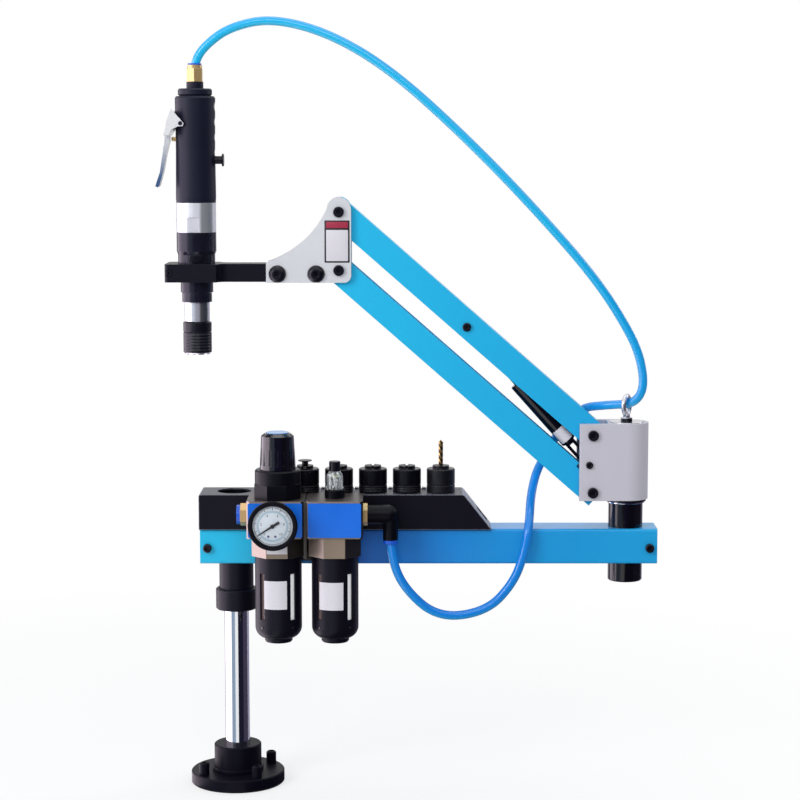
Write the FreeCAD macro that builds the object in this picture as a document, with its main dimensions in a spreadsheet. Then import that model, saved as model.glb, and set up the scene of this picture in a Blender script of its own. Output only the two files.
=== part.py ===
import FreeCAD, Part
import math
import os

import Sketcher
from FreeCAD import Placement, Rotation, Vector

# Arm tapping machine. Origin at the centre of the base flange's underside, +Z up,
# +X along the horizontal arm toward the turret, -Y toward the air unit.

doc = FreeCAD.newDocument("ArmTappingMachine")
sheet = doc.addObject("Spreadsheet::Sheet", "Sizes")


class Size:
    """A length in millimetres that remembers the expression it comes from."""

    def __init__(self, value, text):
        self.value = float(value)
        self.text = text

    def joined(self, sign, other, value):
        return Size(value, f"({self.text} {sign} {other.text})")

    def __add__(self, other):
        other = size(other)
        return self.joined("+", other, self.value + other.value)

    def __sub__(self, other):
        other = size(other)
        return self.joined("-", other, self.value - other.value)

    def __mul__(self, other):
        other = size(other)
        return self.joined("*", other, self.value * other.value)

    def __truediv__(self, other):
        other = size(other)
        return self.joined("/", other, self.value / other.value)

    def __radd__(self, other):
        return size(other) + self

    def __rsub__(self, other):
        return size(other) - self

    def __rmul__(self, other):
        return size(other) * self

    def __neg__(self):
        return Size(-self.value, f"(0 - {self.text})")


def size(number):
    return number if isinstance(number, Size) else Size(number, repr(float(number)))


def cosine(angle):
    return Size(math.cos(math.radians(angle.value)), f"cos({angle.text})")


def sine(angle):
    return Size(math.sin(math.radians(angle.value)), f"sin({angle.text})")


def root(number):
    return Size(math.sqrt(number.value), f"sqrt({number.text})")


rows = []


def named(alias, value, what):
    """Writes one value into the sheet and returns it as a size."""
    rows.append(alias)
    row = len(rows)
    sheet.set(f"A{row}", what)
    sheet.set(f"B{row}", repr(float(value)))
    sheet.setAlias(f"B{row}", alias)
    return Size(value, f"Sizes.{alias}")


# Fits
run_gap = named("run_gap", 0.05, "radial running fit")
loose_gap = named("loose_gap", 0.3, "clearance of parts that move past each other")
side_gap = named("side_gap", 1.0, "room beside an arm in its fork")

# Base and column
flange_dia = named("flange_dia", 107, "base flange across")
flange_thick = named("flange_thick", 14, "base flange thickness")
hub_dia = named("hub_dia", 54, "base hub across")
hub_top = named("hub_top", 45, "height of the hub's top")
hub_floor = named("hub_floor", 5, "metal under the column")
edge_break = named("edge_break", 1.2, "chamfer on turned edges")
base_circle = named("base_circle", 88, "bolt circle of the base")
base_hole = named("base_hole", 9, "bolt hole of the base")
base_angle = named("base_angle", 33, "angle of the first base bolt")
base_head_dia = named("base_head_dia", 11.5, "head of a base bolt across")
base_head_tall = named("base_head_tall", 14, "head of a base bolt, height")
base_bolt = named("base_bolt", 8, "shank of a base bolt")
base_thread = named("base_thread", 7.2, "base screw thread, at its pitch line")
base_thread_long = named("base_thread_long", 22, "base screw thread below the flange")
column_dia = named("column_dia", 28, "column across")
column_top = named("column_top", 285, "height of the column's top")
collar_dia = named("collar_dia", 47, "stop collar across")
collar_low = named("collar_low", 203, "height of the stop collar's underside")
collar_tall = named("collar_tall", 24, "stop collar height")
collar_seat = named("collar_seat", 3, "depth of the seat in the collar")

# Horizontal arm
sleeve_dia = named("sleeve_dia", 39, "swing sleeve across")
arm_low = named("arm_low", 258.5, "height of the arm's underside")
arm_tall = named("arm_tall", 40, "arm tube height")
arm_wide = named("arm_wide", 45, "arm tube width")
arm_wall = named("arm_wall", 3, "arm tube wall")
arm_left = named("arm_left", -39.3, "left end of the arm")
arm_over = named("arm_over", 34.4, "arm beyond the pivot's axis")
block_inset = named("block_inset", 2, "clamp block back from the tube's end")
block_long = named("block_long", 68, "clamp block length")
clamp_slit = named("clamp_slit", 2.4, "slit of a clamp")
arm_bolt = named("arm_bolt", 6, "shank of an arm clamp bolt")
arm_bolt_head = named("arm_bolt_head", 9.8, "head of an arm clamp bolt across")
arm_bolt_left = named("arm_bolt_left", -30.8, "left clamp bolt from the column")
arm_bolt_right = named("arm_bolt_right", 25.6, "right clamp bolt from the pivot")
arm_bolt_height = named("arm_bolt_height", 277, "height of the clamp bolts")

# Collet tray
tray_over = named("tray_over", 0.7, "tray beyond the arm's left end")
tray_wide = named("tray_wide", 54, "tray width")
tray_tall = named("tray_tall", 40, "tray height")
tray_sheet = named("tray_sheet", 2, "tray sheet thickness")
tray_flat = named("tray_flat", 299, "tray length along its top")
tray_foot = named("tray_foot", 330.5, "tray length along its foot")
tray_bend = named("tray_bend", 5, "outside radius of the sloping end's bend")
tray_lip = named("tray_lip", 9, "lip folded in under the tray")
column_way = named("column_way", 39, "hole that lets the column through the tray")
column_way_x = named("column_way_x", -1.5, "centre of that hole along the arm")
column_way_y = named("column_way_y", 2, "centre of that hole across the arm")
end_slot_long = named("end_slot_long", 17, "slot in the sloping end, across the arm")
end_slot_tall = named("end_slot_tall", 20, "slot in the sloping end, up the slope")
end_slot_up = named("end_slot_up", 4.5, "start of that slot up the slope")
end_slot_y = named("end_slot_y", 5, "start of that slot across the arm")

# Tapping collets
collet_first = named("collet_first", 40.9, "first collet from the column")
collet_pitch = named("collet_pitch", 38.5, "collet pitch")
collet_row = named("collet_row", -6, "collet row from the middle of the tray")
collet_dia = named("collet_dia", 32, "collet head across")
collet_tall = named("collet_tall", 27, "collet head height")
collet_nose = named("collet_nose", 18.8, "collet nose across")
collet_nose_tall = named("collet_nose_tall", 3.4, "collet nose height")
collet_groove = named("collet_groove", 0.8, "depth of the clutch ring groove")
shank_dia = named("shank_dia", 15, "collet shank across")
shank_long = named("shank_long", 17, "collet shank length")
tap_bore = named("tap_bore", 8, "bore for the tap's shank")
drill_dia = named("drill_dia", 5, "parked drill across")
drill_long = named("drill_long", 29, "parked drill beyond its collet")

# Pivot and turret
reach = named("reach", 444, "column axis to turret axis")
pivot_dia = named("pivot_dia", 39, "pivot post across")
pivot_low = named("pivot_low", 236.4, "height of the post's lower end")
pivot_shoulder = named("pivot_shoulder", 327.8, "height of the post's shoulder")
journal_dia = named("journal_dia", 25, "journal of the post")
journal_top = named("journal_top", 403, "height of the journal's end")
bush_dia = named("bush_dia", 32, "turret bush across")
bush_long = named("bush_long", 22, "turret bush length")
washer_dia = named("washer_dia", 46, "thrust washer across")
washer_thick = named("washer_thick", 2.9, "thrust washer thickness")
turret_low = named("turret_low", 331, "height of the turret's underside")
turret_tall = named("turret_tall", 87, "turret height")
turret_wide = named("turret_wide", 50, "turret width")
turret_front = named("turret_front", 54.5, "turret axis to the end of its cheeks")
fork_deep = named("fork_deep", 33, "depth of the turret's fork")
cap_dia = named("cap_dia", 39, "bearing cap across")
cap_thick = named("cap_thick", 3.5, "bearing cap thickness")
cap_proud = named("cap_proud", 0.7, "bearing cap above the turret")
eye_collar = named("eye_collar", 12.7, "lock nut of the eye bolt across")
eye_collar_tall = named("eye_collar_tall", 4.3, "lock nut of the eye bolt, height")
eye_mean = named("eye_mean", 21, "eye ring, mean diameter")
eye_bar = named("eye_bar", 5.5, "eye ring bar")
eye_turn = named("eye_turn", 24, "turn of the eye ring about the turret axis")
eye_thread = named("eye_thread", 8, "thread of the eye bolt")
eye_neck = named("eye_neck", 0.5, "eye ring above its lock nut")

# Parallelogram
pivot_back = named("pivot_back", 39.5, "arm pivots ahead of the turret axis")
pivot_height = named("pivot_height", 405.5, "height of the upper arm's pivot")
pivot_spread = named("pivot_spread", 65, "upper pivot above lower pivot")
link_long = named("link_long", 380, "pivot to pivot along an arm")
link_angle = named("link_angle", 41.24, "rise of the arms at rest")
link_wide = named("link_wide", 30, "arm channel width")
link_tall = named("link_tall", 29.5, "arm channel height")
link_wall = named("link_wall", 2.5, "arm channel wall")
relief_along = named("relief_along", 23.2, "lower pivot to the relief for the spring pin")
relief_long = named("relief_long", 9.4, "relief for the spring pin, along the arm")
relief_deep = named("relief_deep", 5.2, "relief for the spring pin, depth")
link_over = named("link_over", 8, "arm beyond each pivot")
pin_dia = named("pin_dia", 8, "pivot bolt shank")
pin_head = named("pin_head", 12, "pivot bolt head across")
pin_head_tall = named("pin_head_tall", 4.5, "pivot bolt head height")

# Gas spring
spring_back = named("spring_back", 4.1, "spring pin ahead of the arm pivot")
spring_drop = named("spring_drop", 33.6, "spring pin below the upper pivot")
spring_pin = named("spring_pin", 5, "spring pin shank")
spring_pin_head = named("spring_pin_head", 8, "spring pin head across")
rod_pin_along = named("rod_pin_along", 187.2, "rod pin along the upper arm")
rod_pin_drop = named("rod_pin_drop", 2.5, "rod pin below the arm's centre line")
rod_pin_dia = named("rod_pin_dia", 6, "rod pin shank")
rod_pin_head = named("rod_pin_head", 9.7, "rod pin head across")
rod_slack = named("rod_slack", 1.5, "slack of the rod eye on its pin")
spring_dia = named("spring_dia", 18, "gas spring body across")
spring_wall = named("spring_wall", 1.5, "gas spring body wall")
spring_start = named("spring_start", 32, "spring pin to the body's lower end")
spring_end = named("spring_end", 121.5, "spring pin to the body's upper end")
rod_dia = named("rod_dia", 8, "gas spring rod across")
rod_inside = named("rod_inside", 46, "rod inside the body at rest")
spring_eye = named("spring_eye", 12, "end fitting across")
spring_eye_wide = named("spring_eye_wide", 9, "end fitting width")

# Head
plate_thick = named("plate_thick", 6, "head plate thickness")
plate_low = named("plate_low", 13.8, "head plate below the lower pivot")
plate_left = named("plate_left", 81.1, "head plate left of the pivots")
plate_right = named("plate_right", 13.9, "head plate right of the pivots")
plate_corner = named("plate_corner", 8, "rounded corner of the plate")
plate_nose = named("plate_nose", 22.2, "left end of the plate, height")
plate_sweep = named("plate_sweep", 118, "radius of the plate's hollow edge")
holder_bolt = named("holder_bolt", 10, "holder bolt shank")
holder_head = named("holder_head", 19.4, "holder bolt head across")
holder_head_tall = named("holder_head_tall", 6, "holder bolt head height")
holder_bolt_near = named("holder_bolt_near", 25.3, "near holder bolt from the pivots")
holder_bolt_far = named("holder_bolt_far", 68.5, "far holder bolt from the pivots")
holder_bolt_drop = named("holder_bolt_drop", 4, "holder bolts below the lower pivot")
bar_tall = named("bar_tall", 20.2, "holder bar height")
bar_drop = named("bar_drop", 13.2, "holder bar's underside below the lower pivot")
bar_end = named("bar_end", 18, "holder bar's end from the pivots")
motor_out = named("motor_out", 160.2, "pivots to the motor axis")
clamp_wide = named("clamp_wide", 56, "motor clamp width")
clamp_left = named("clamp_left", 33.8, "motor axis to the clamp's split end")
clamp_right = named("clamp_right", 30, "motor axis to the clamp's shoulder")
clamp_screw_x = named("clamp_screw_x", 28.5, "clamp screw from the motor axis")
clamp_screw = named("clamp_screw", 5, "clamp screw shank")
clamp_screw_head = named("clamp_screw_head", 8, "clamp screw head across")

# Air motor, heights above the bar's underside
neck_dia = named("neck_dia", 38, "gearbox neck in the clamp")
collar_up = named("collar_up", 20.2, "start of the gearbox collar")
gear_dia = named("gear_dia", 44.5, "gearbox across")
gear_step = named("gear_step", 41.6, "gearbox collar across")
gear_shoulder = named("gear_shoulder", 30, "gearbox shoulder height")
gear_top = named("gear_top", 55, "gearbox top")
nose_dia = named("nose_dia", 36.5, "gearbox nose across")
nose_tip_dia = named("nose_tip_dia", 33.5, "gearbox nose tip across")
nose_step = named("nose_step", 12.1, "nose step below the bar")
nose_low = named("nose_low", 23.2, "nose end below the bar")
ring_top = named("ring_top", 88, "exhaust ring top")
ring_flat_tall = named("ring_flat_tall", 17, "spanner flat height")
ring_flat_depth = named("ring_flat_depth", 1.6, "spanner flat depth")
grip_dia = named("grip_dia", 45, "grip across")
grip_top = named("grip_top", 206.5, "grip top")
head_ring_dia = named("head_ring_dia", 38, "head ring across")
head_ring_top = named("head_ring_top", 214.5, "head ring top")
neck_top_dia = named("neck_top_dia", 18.9, "inlet neck across")
neck_top = named("neck_top", 222, "inlet neck top")
hex_flats = named("hex_flats", 17, "inlet fitting across flats")
hex_tall = named("hex_tall", 14.7, "inlet fitting height")
grip_wave = named("grip_wave", 1.4, "depth of the finger waves")
grip_wave_pitch = named("grip_wave_pitch", 17, "pitch of the finger waves")
spindle_dia = named("spindle_dia", 12, "spindle across")
chuck_core = named("chuck_core", 22, "chuck core across")
chuck_dia = named("chuck_dia", 28.2, "chuck sleeve across")
chuck_low = named("chuck_low", 45.7, "chuck end below the bar")
chuck_lift = named("chuck_lift", 4, "travel of the chuck sleeve")
chuck_collet_tall = named("chuck_collet_tall", 34.8, "collet in the chuck, head height")

# Trigger and reverse button, from the grip's side and the bar's underside
lever_pin_in = named("lever_pin_in", 7.9, "lever pin in from the grip's side")
lever_pin_z = named("lever_pin_z", 176, "lever pin height")
lever_pin = named("lever_pin", 4, "lever pin across")
lever_thick = named("lever_thick", 2, "lever cheek thickness")
lever_over = named("lever_over", 0.1, "lever cheeks beyond the grip's width")
paddle_wide = named("paddle_wide", 16, "paddle width")
valve_z = named("valve_z", 158.6, "valve stem height")
valve_dia = named("valve_dia", 5, "valve stem across")
valve_proud = named("valve_proud", 4.1, "valve stem out of the grip")
button_z = named("button_z", 135.4, "reverse button height")
button_stem = named("button_stem", 9, "reverse button stem")
button_dia = named("button_dia", 14.4, "reverse button across")
button_proud = named("button_proud", 6.9, "reverse button's flange out of the grip")
button_thick = named("button_thick", 2.2, "reverse button thickness")

# Air unit
unit_back = named("unit_back", -28, "back of the air unit")
unit_deep = named("unit_deep", 60, "depth of the air unit")
unit_low = named("unit_low", 299, "height of the modules' underside")
unit_top = named("unit_top", 340.7, "height of the modules' top")
filter_left = named("filter_left", 18, "left side of the filter module")
filter_wide = named("filter_wide", 63.1, "filter module width")
spacer_thick = named("spacer_thick", 3, "bracket between the modules")
spacer_in = named("spacer_in", 1, "bracket in from the modules' faces")
oiler_wide = named("oiler_wide", 61.9, "oiler module width")
filter_axis = named("filter_axis", 51.3, "filter axis")
oiler_axis = named("oiler_axis", 114.6, "oiler axis")
unit_axis = named("unit_axis", 30, "module axes from the unit's back")
corner_cut = named("corner_cut", 3, "chamfer on the modules' corners")
skirt_across = named("skirt_across", 57.6, "octagonal skirt across flats")
skirt_low = named("skirt_low", 276.6, "height of the skirt's lower end")
bracket_low = named("bracket_low", 264, "height of the bracket's lower end")
bracket_side = named("bracket_side", 22, "bracket foot beyond the spacer")
facing_thick = named("facing_thick", 1.5, "front plate thickness")
facing_tall = named("facing_tall", 38.2, "front plate height")
facing_rim = named("facing_rim", 1.7, "rim round a front plate")
guard_dia = named("guard_dia", 52.2, "bowl guard across")
guard_wall = named("guard_wall", 1.8, "bowl guard wall")
guard_round = named("guard_round", 196, "height where the guard rounds off")
guard_low = named("guard_low", 178, "height of the guard's lower end")
guard_mouth = named("guard_mouth", 31, "guard's lower ring across")
window_low = named("window_low", 206, "height of the window's lower end")
window_tall = named("window_tall", 52, "window height")
window_wide = named("window_wide", 6.4, "window width")
window_angle = named("window_angle", 41, "windows off the front")
bowl_gap = named("bowl_gap", 1.0, "bowl inside its guard")
bowl_wall = named("bowl_wall", 2.5, "bowl wall")
element_dia = named("element_dia", 26, "filter element across")
element_tall = named("element_tall", 42, "filter element height")
drain_dia = named("drain_dia", 8, "drain knob across")
port_height = named("port_height", 321.5, "height of the ports")
port_bore = named("port_bore", 14, "bore of the ports")
port_nut = named("port_nut", 22, "port nut across flats")
port_nut_out = named("port_nut_out", 8.3, "inlet nut out of the module")
tube_dia = named("tube_dia", 10, "air hose across")
ring_dia = named("ring_dia", 17.5, "release ring across")
inlet_ring_dia = named("inlet_ring_dia", 21.4, "inlet release ring across")
ring_out = named("ring_out", 4.2, "release ring standing out")
outlet_nut_out = named("outlet_nut_out", 5, "outlet nut out of the module")
elbow_dia = named("elbow_dia", 21.3, "elbow body across")
elbow_reach = named("elbow_reach", 176.5, "elbow's down leg from the column")
elbow_leg = named("elbow_leg", 16.8, "elbow's down leg across")
elbow_low = named("elbow_low", 293, "height of the elbow's lower end")
gauge_dia = named("gauge_dia", 51.5, "gauge across")
gauge_x = named("gauge_x", 48.3, "gauge axis")
gauge_z = named("gauge_z", 318, "gauge axis height")
gauge_stem = named("gauge_stem", 6, "gauge stem length")
gauge_deep = named("gauge_deep", 24, "gauge case depth")
gauge_rim = named("gauge_rim", 3, "gauge bezel width")
gauge_recess = named("gauge_recess", 4, "dial below the bezel")
needle_drop = named("needle_drop", 32, "needle below level at rest")
bonnet_base_dia = named("bonnet_base_dia", 52.6, "bonnet base across")
bonnet_dia = named("bonnet_dia", 51, "bonnet across")
bonnet_step = named("bonnet_step", 357, "height of the bonnet's step")
bonnet_top = named("bonnet_top", 372.6, "height of the bonnet's top")
knob_dia = named("knob_dia", 40, "regulator knob across its foot")
knob_top_dia = named("knob_top_dia", 36.4, "regulator knob across its top")
knob_top = named("knob_top", 413.5, "height of the knob's top")
knob_rib = named("knob_rib", 1.2, "knob rib depth")
screw_dia = named("screw_dia", 10, "regulator pressure screw")
sight_base_dia = named("sight_base_dia", 22.5, "sight dome base across")
sight_base_top = named("sight_base_top", 350.5, "height of the sight base's top")
sight_dia = named("sight_dia", 18, "sight dome across")
sight_top = named("sight_top", 370.5, "height of the sight dome's top")
oil_knob_dia = named("oil_knob_dia", 12.6, "oil knob across")
oil_knob_tall = named("oil_knob_tall", 10.7, "oil knob height")

AXES = {
    "X": Rotation(Vector(0, 1, 0), 90),
    "-X": Rotation(Vector(0, 1, 0), -90),
    "Y": Rotation(Vector(1, 0, 0), -90),
    "-Y": Rotation(Vector(1, 0, 0), 90),
    "Z": Rotation(),
}
finished = []


def put(thing, spot, turn=None):
    """Places an object, with each coordinate bound to the sheet."""
    spot = [size(value) for value in spot]
    thing.Placement = Placement(Vector(*[v.value for v in spot]), turn or Rotation())
    for letter, value in zip("xyz", spot):
        thing.setExpression(f"Placement.Base.{letter}", value.text)
    return thing


def cylinder(label, dia, length, spot=(0, 0, 0), along="Z"):
    thing = doc.addObject("Part::Cylinder", label)
    thing.setExpression("Radius", (size(dia) / 2).text)
    thing.setExpression("Height", size(length).text)
    return put(thing, spot, AXES[along])


def box(label, sides, corner):
    thing = doc.addObject("Part::Box", label)
    for name, value in zip(("Length", "Width", "Height"), sides):
        thing.setExpression(name, size(value).text)
    return put(thing, corner)


def prism(label, flats, length, spot, sides=6, along="Z", turn=0):
    """A regular prism, given across its flats."""
    thing = doc.addObject("Part::Prism", label)
    thing.Polygon = sides
    half = size(flats) / 2
    thing.setExpression("Circumradius", (half / cosine(size(180 / sides))).text)
    thing.setExpression("Height", size(length).text)
    return put(thing, spot, AXES[along] * Rotation(Vector(0, 0, 1), turn))


def together(kind, label, things):
    thing = doc.addObject(kind, label)
    if kind == "Part::Compound":
        thing.Links = list(things)
    else:
        thing.Shapes = list(things)
    return thing


def cut(label, base, *tools):
    thing = doc.addObject("Part::Cut", label)
    thing.Base = base
    thing.Tool = tools[0] if len(tools) == 1 else together("Part::Compound", label + "Cuts", tools)
    return thing


def fuse(label, *things):
    thing = together("Part::MultiFuse", label, things)
    thing.Refine = True
    return thing


def group(label, *things):
    return together("Part::Compound", label, things)


def outline(sketch, points):
    """Draws a closed outline and ties every corner to the sheet.

    A point is (x, y), or (x, y, radius, bulge) for an arc that ends there.
    """
    corners = [tuple(size(value) for value in point[:2]) for point in points]
    count = len(points)
    ends = []
    for i, point in enumerate(points):
        a = Vector(corners[i - 1][0].value, corners[i - 1][1].value, 0)
        b = Vector(corners[i][0].value, corners[i][1].value, 0)
        if len(point) == 2:
            index = sketch.addGeometry(Part.LineSegment(a, b), False)
            ends.append((index, 1, 2))
            continue
        radius = size(point[2])
        half = (b - a).Length / 2
        across = Vector(-(b - a).y, (b - a).x, 0).normalize()
        deep = radius.value - math.sqrt(max(radius.value**2 - half**2, 0))
        middle = (a + b) / 2 - across * deep * point[3]
        first, last = (a, b) if point[3] > 0 else (b, a)
        index = sketch.addGeometry(Part.Arc(first, middle, last), False)
        ends.append((index, 1, 2) if point[3] > 0 else (index, 2, 1))
        if radius.value > half + 1e-6:
            bend(sketch, index, radius)
    for i in range(count):
        here, following = ends[i], ends[(i + 1) % count]
        sketch.addConstraint(
            Sketcher.Constraint("Coincident", here[0], here[2], following[0], following[1])
        )
    for i in range(count):
        for kind, value in zip(("DistanceX", "DistanceY"), corners[i]):
            tie(sketch, kind, ends[i], value, f"{kind[-1].lower()}{i}")
        if len(points[i]) == 4 and not bent(sketch, ends[i][0]):
            flat_end(sketch, ends[i], ends[i - 1])


def tie(sketch, kind, end, value, name):
    """Holds a corner at its distance from one of the sketch's axes."""
    if value.value == 0:
        axis = -2 if kind == "DistanceX" else -1
        sketch.addConstraint(Sketcher.Constraint("PointOnObject", end[0], end[2], axis))
        return
    number = sketch.addConstraint(
        Sketcher.Constraint(kind, -1, 1, end[0], end[2], value.value)
    )
    sketch.renameConstraint(number, f"at_{name}")
    sketch.setExpression(f"Constraints.at_{name}", value.text)


def bend(sketch, index, radius):
    number = sketch.addConstraint(Sketcher.Constraint("Radius", index, radius.value))
    sketch.renameConstraint(number, f"bend{index}")
    sketch.setExpression(f"Constraints.bend{index}", radius.text)


def bent(sketch, index):
    return any(c.Type == "Radius" and c.First == index for c in sketch.Constraints)


def flat_end(sketch, end, before):
    """A half circle: its centre lies on the line between its ends."""
    number = sketch.addGeometry(
        Part.LineSegment(
            sketch.getPoint(before[0], before[2]), sketch.getPoint(end[0], end[2])
        ),
        True,
    )
    for constraint in (
        Sketcher.Constraint("Coincident", number, 1, before[0], before[2]),
        Sketcher.Constraint("Coincident", number, 2, end[0], end[2]),
        Sketcher.Constraint("PointOnObject", end[0], 3, number),
    ):
        sketch.addConstraint(constraint)


def sketched(label, plane, points):
    body = doc.addObject("PartDesign::Body", label)
    sketch = body.newObject("Sketcher::SketchObject", label + "Outline")
    face = [f for f in body.Origin.OriginFeatures if f.Role == plane][0]
    sketch.AttachmentSupport = [(face, "")]
    sketch.MapMode = "FlatFace"
    outline(sketch, points)
    return body, sketch


def turned(label, points, spot=(0, 0, 0), along="Z"):
    """A turned piece: points are (radius, height)."""
    body, sketch = sketched(label, "XZ_Plane", points)
    spin = body.newObject("PartDesign::Revolution", label + "Turned")
    spin.Profile = sketch
    spin.ReferenceAxis = (sketch, ["V_Axis"])
    spin.Angle = 360
    return put(body, spot, AXES[along])


def padded(label, plane, points, thick, spot=(0, 0, 0), turn=None, middle=True):
    """A plate cut to an outline, across the plane it is drawn in."""
    body, sketch = sketched(label, plane, points)
    pad = body.newObject("PartDesign::Pad", label + "Plate")
    pad.Profile = sketch
    pad.SideType = "Symmetric" if middle else "One side"
    pad.setExpression("Length", size(thick).text)
    return put(body, spot, turn)


def turned_about(label, things, axis, angle, spot=(0, 0, 0)):
    """Pieces turned together about an axis and then placed."""
    angle = size(angle)
    thing = put(group(label, *things), spot, Rotation(Vector(*axis), angle.value))
    thing.setExpression("Placement.Rotation.Angle", angle.text)
    return thing


def angle_of(rise, run):
    """The angle of a slope, in degrees."""
    rise, run = size(rise), size(run)
    value = math.degrees(math.atan(rise.value / run.value))
    return Size(value, f"(atan({rise.text} / {run.text}) / 1 deg)")


def rounded(x0, y0, x1, y1, radius):
    """The outline of a rectangle with rounded corners."""
    x0, y0, x1, y1 = size(x0), size(y0), size(x1), size(y1)
    return [
        (x1 - radius, y0),
        (x1, y0 + radius, radius, 1),
        (x1, y1 - radius),
        (x1 - radius, y1, radius, 1),
        (x0 + radius, y1),
        (x0, y1 - radius, radius, 1),
        (x0, y0 + radius),
        (x0 + radius, y0, radius, 1),
    ]


def finish(name, thing):
    """Names a finished piece."""
    thing.Label = name
    finished.append((name, thing))
    return thing


def cap_screw(label, head, head_tall, shank, long, socket, spot, along):
    """A socket head screw with its head's underside at the spot, pointing along."""
    deep = size(head_tall) * 0.55
    body = turned(
        label + "Blank",
        [
            (0, -size(head_tall)),
            (size(head) / 2 - 0.8, -size(head_tall)),
            (size(head) / 2, 0.8 - size(head_tall)),
            (size(head) / 2, 0),
            (size(shank) / 2, 0),
            (size(shank) / 2, long),
            (0, long),
        ],
    )
    key = prism(label + "Key", socket, deep, (0, 0, -size(head_tall)))
    return put(cut(label, body, key), spot, AXES[along])


# ---------------------------------------------------------------- base and column


def base_spots(radius):
    for i in range(4):
        angle = base_angle + 90 * i
        yield i, radius * cosine(angle), radius * sine(angle)


flange = turned(
    "FlangeBlank",
    [
        (0, 0),
        (flange_dia / 2 - edge_break, 0),
        (flange_dia / 2, edge_break),
        (flange_dia / 2, flange_thick - edge_break),
        (flange_dia / 2 - edge_break, flange_thick),
        (hub_dia / 2 + 2, flange_thick),
        (hub_dia / 2, flange_thick + 2),
        (hub_dia / 2, hub_top - edge_break),
        (hub_dia / 2 - edge_break, hub_top),
        (column_dia / 2 + run_gap, hub_top),
        (column_dia / 2 + run_gap, hub_floor),
        (0, hub_floor),
    ],
)
holes = [
    cylinder(f"BaseHole{i}", base_hole, flange_thick + 2, (x, y, -1))
    for i, x, y in base_spots(base_circle / 2)
]
finish("base_flange", cut("Flange", flange, *holes))
screws = [
    put(
        cut(
            f"BaseScrew{i}",
            turned(
                f"BaseScrewBlank{i}",
                [
                    (0, -base_thread_long),
                    (base_thread / 2 - 1, -base_thread_long),
                    (base_thread / 2, 1 - base_thread_long),
                    (base_thread / 2, 0),
                    (base_bolt / 2, 0),
                    (base_bolt / 2, flange_thick),
                    (base_head_dia / 2, flange_thick),
                    (base_head_dia / 2, flange_thick + base_head_tall - 1.5),
                    (base_head_dia / 2 - 1.5, flange_thick + base_head_tall),
                    (0, flange_thick + base_head_tall),
                ],
            ),
            prism(f"BaseKey{i}", 6, 6, (0, 0, flange_thick + base_head_tall - 5)),
        ),
        (x, y, 0),
    )
    for i, x, y in base_spots(base_circle / 2)
]
finish("base_screws", group("BaseScrews", *screws))
finish(
    "column",
    turned(
        "Column",
        [
            (0, hub_floor),
            (column_dia / 2 - edge_break, hub_floor),
            (column_dia / 2, hub_floor + edge_break),
            (column_dia / 2, column_top - edge_break),
            (column_dia / 2 - edge_break, column_top),
            (0, column_top),
        ],
    ),
)
collar_top = collar_low + collar_tall
collar_floor = collar_top - collar_seat
finish(
    "stop_collar",
    turned(
        "StopCollar",
        [
            (column_dia / 2 + run_gap, collar_low),
            (collar_dia / 2 - edge_break, collar_low),
            (collar_dia / 2, collar_low + edge_break),
            (collar_dia / 2, collar_top - edge_break),
            (collar_dia / 2 - edge_break, collar_top),
            (sleeve_dia / 2 + loose_gap * 2, collar_top),
            (sleeve_dia / 2 + loose_gap * 2, collar_floor),
            (column_dia / 2 + run_gap, collar_floor),
        ],
    ),
)

# ---------------------------------------------------------------- horizontal arm

arm_top = arm_low + arm_tall
sleeve_low = collar_floor + loose_gap
sleeve_top = arm_top - arm_wall
finish(
    "swing_sleeve",
    turned(
        "SwingSleeve",
        [
            (column_dia / 2 + run_gap, sleeve_low),
            (sleeve_dia / 2 - 0.6, sleeve_low),
            (sleeve_dia / 2, sleeve_low + 0.6),
            (sleeve_dia / 2, sleeve_top),
            (column_dia / 2 + run_gap, sleeve_top),
        ],
    ),
)
arm_right = reach + arm_over
arm_long = arm_right - arm_left
tube = padded(
    "ArmTube",
    "YZ_Plane",
    rounded(-arm_wide / 2, arm_low, arm_wide / 2, arm_top, 3),
    arm_long,
    (arm_left + arm_long / 2, 0, 0),
)
inner_tall = arm_tall - arm_wall * 2
inner_wide = arm_wide - arm_wall * 2
tube_cuts = [
    box(
        "ArmInside",
        (arm_long + 2, inner_wide, inner_tall),
        (arm_left - 1, -inner_wide / 2, arm_low + arm_wall),
    ),
    cylinder("SleeveHole", sleeve_dia + run_gap * 2, arm_wall + 2, (0, 0, arm_low - 1)),
    cylinder("ColumnHole", column_dia + 2, arm_wall + 2, (0, 0, arm_top - arm_wall - 1)),
    cylinder("PostHole", pivot_dia + run_gap * 2, arm_tall + 2, (reach, 0, arm_low - 1)),
]
bolt_spots = (arm_bolt_left, reach + arm_bolt_right)
for i, x in enumerate(bolt_spots):
    tube_cuts.append(
        cylinder(
            f"ArmBoltHole{i}",
            arm_bolt + loose_gap * 2,
            arm_wide + 2,
            (x, -arm_wide / 2 - 1, arm_bolt_height),
            "Y",
        )
    )
finish("horizontal_arm", cut("HorizontalArm", tube, *tube_cuts))


def clamp_block(label, left, bore_x, bolt_x, slit_left):
    """A split block that grips a post inside the tube's end."""
    width = inner_wide - loose_gap * 2
    height = inner_tall - loose_gap * 2
    low = arm_low + arm_wall + loose_gap
    blank = box(label + "Blank", (block_long, width, height), (left, -width / 2, low))
    bore = cylinder(label + "Bore", pivot_dia + run_gap * 2, arm_tall, (bore_x, 0, arm_low))
    slit = box(
        label + "Slit",
        (block_long / 2, clamp_slit, arm_tall),
        (slit_left, -clamp_slit / 2, arm_low),
    )
    hole = cylinder(
        label + "Hole",
        arm_bolt + loose_gap * 2,
        arm_wide,
        (bolt_x, -arm_wide / 2, arm_bolt_height),
        "Y",
    )
    return cut(label, blank, bore, slit, hole)


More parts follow.
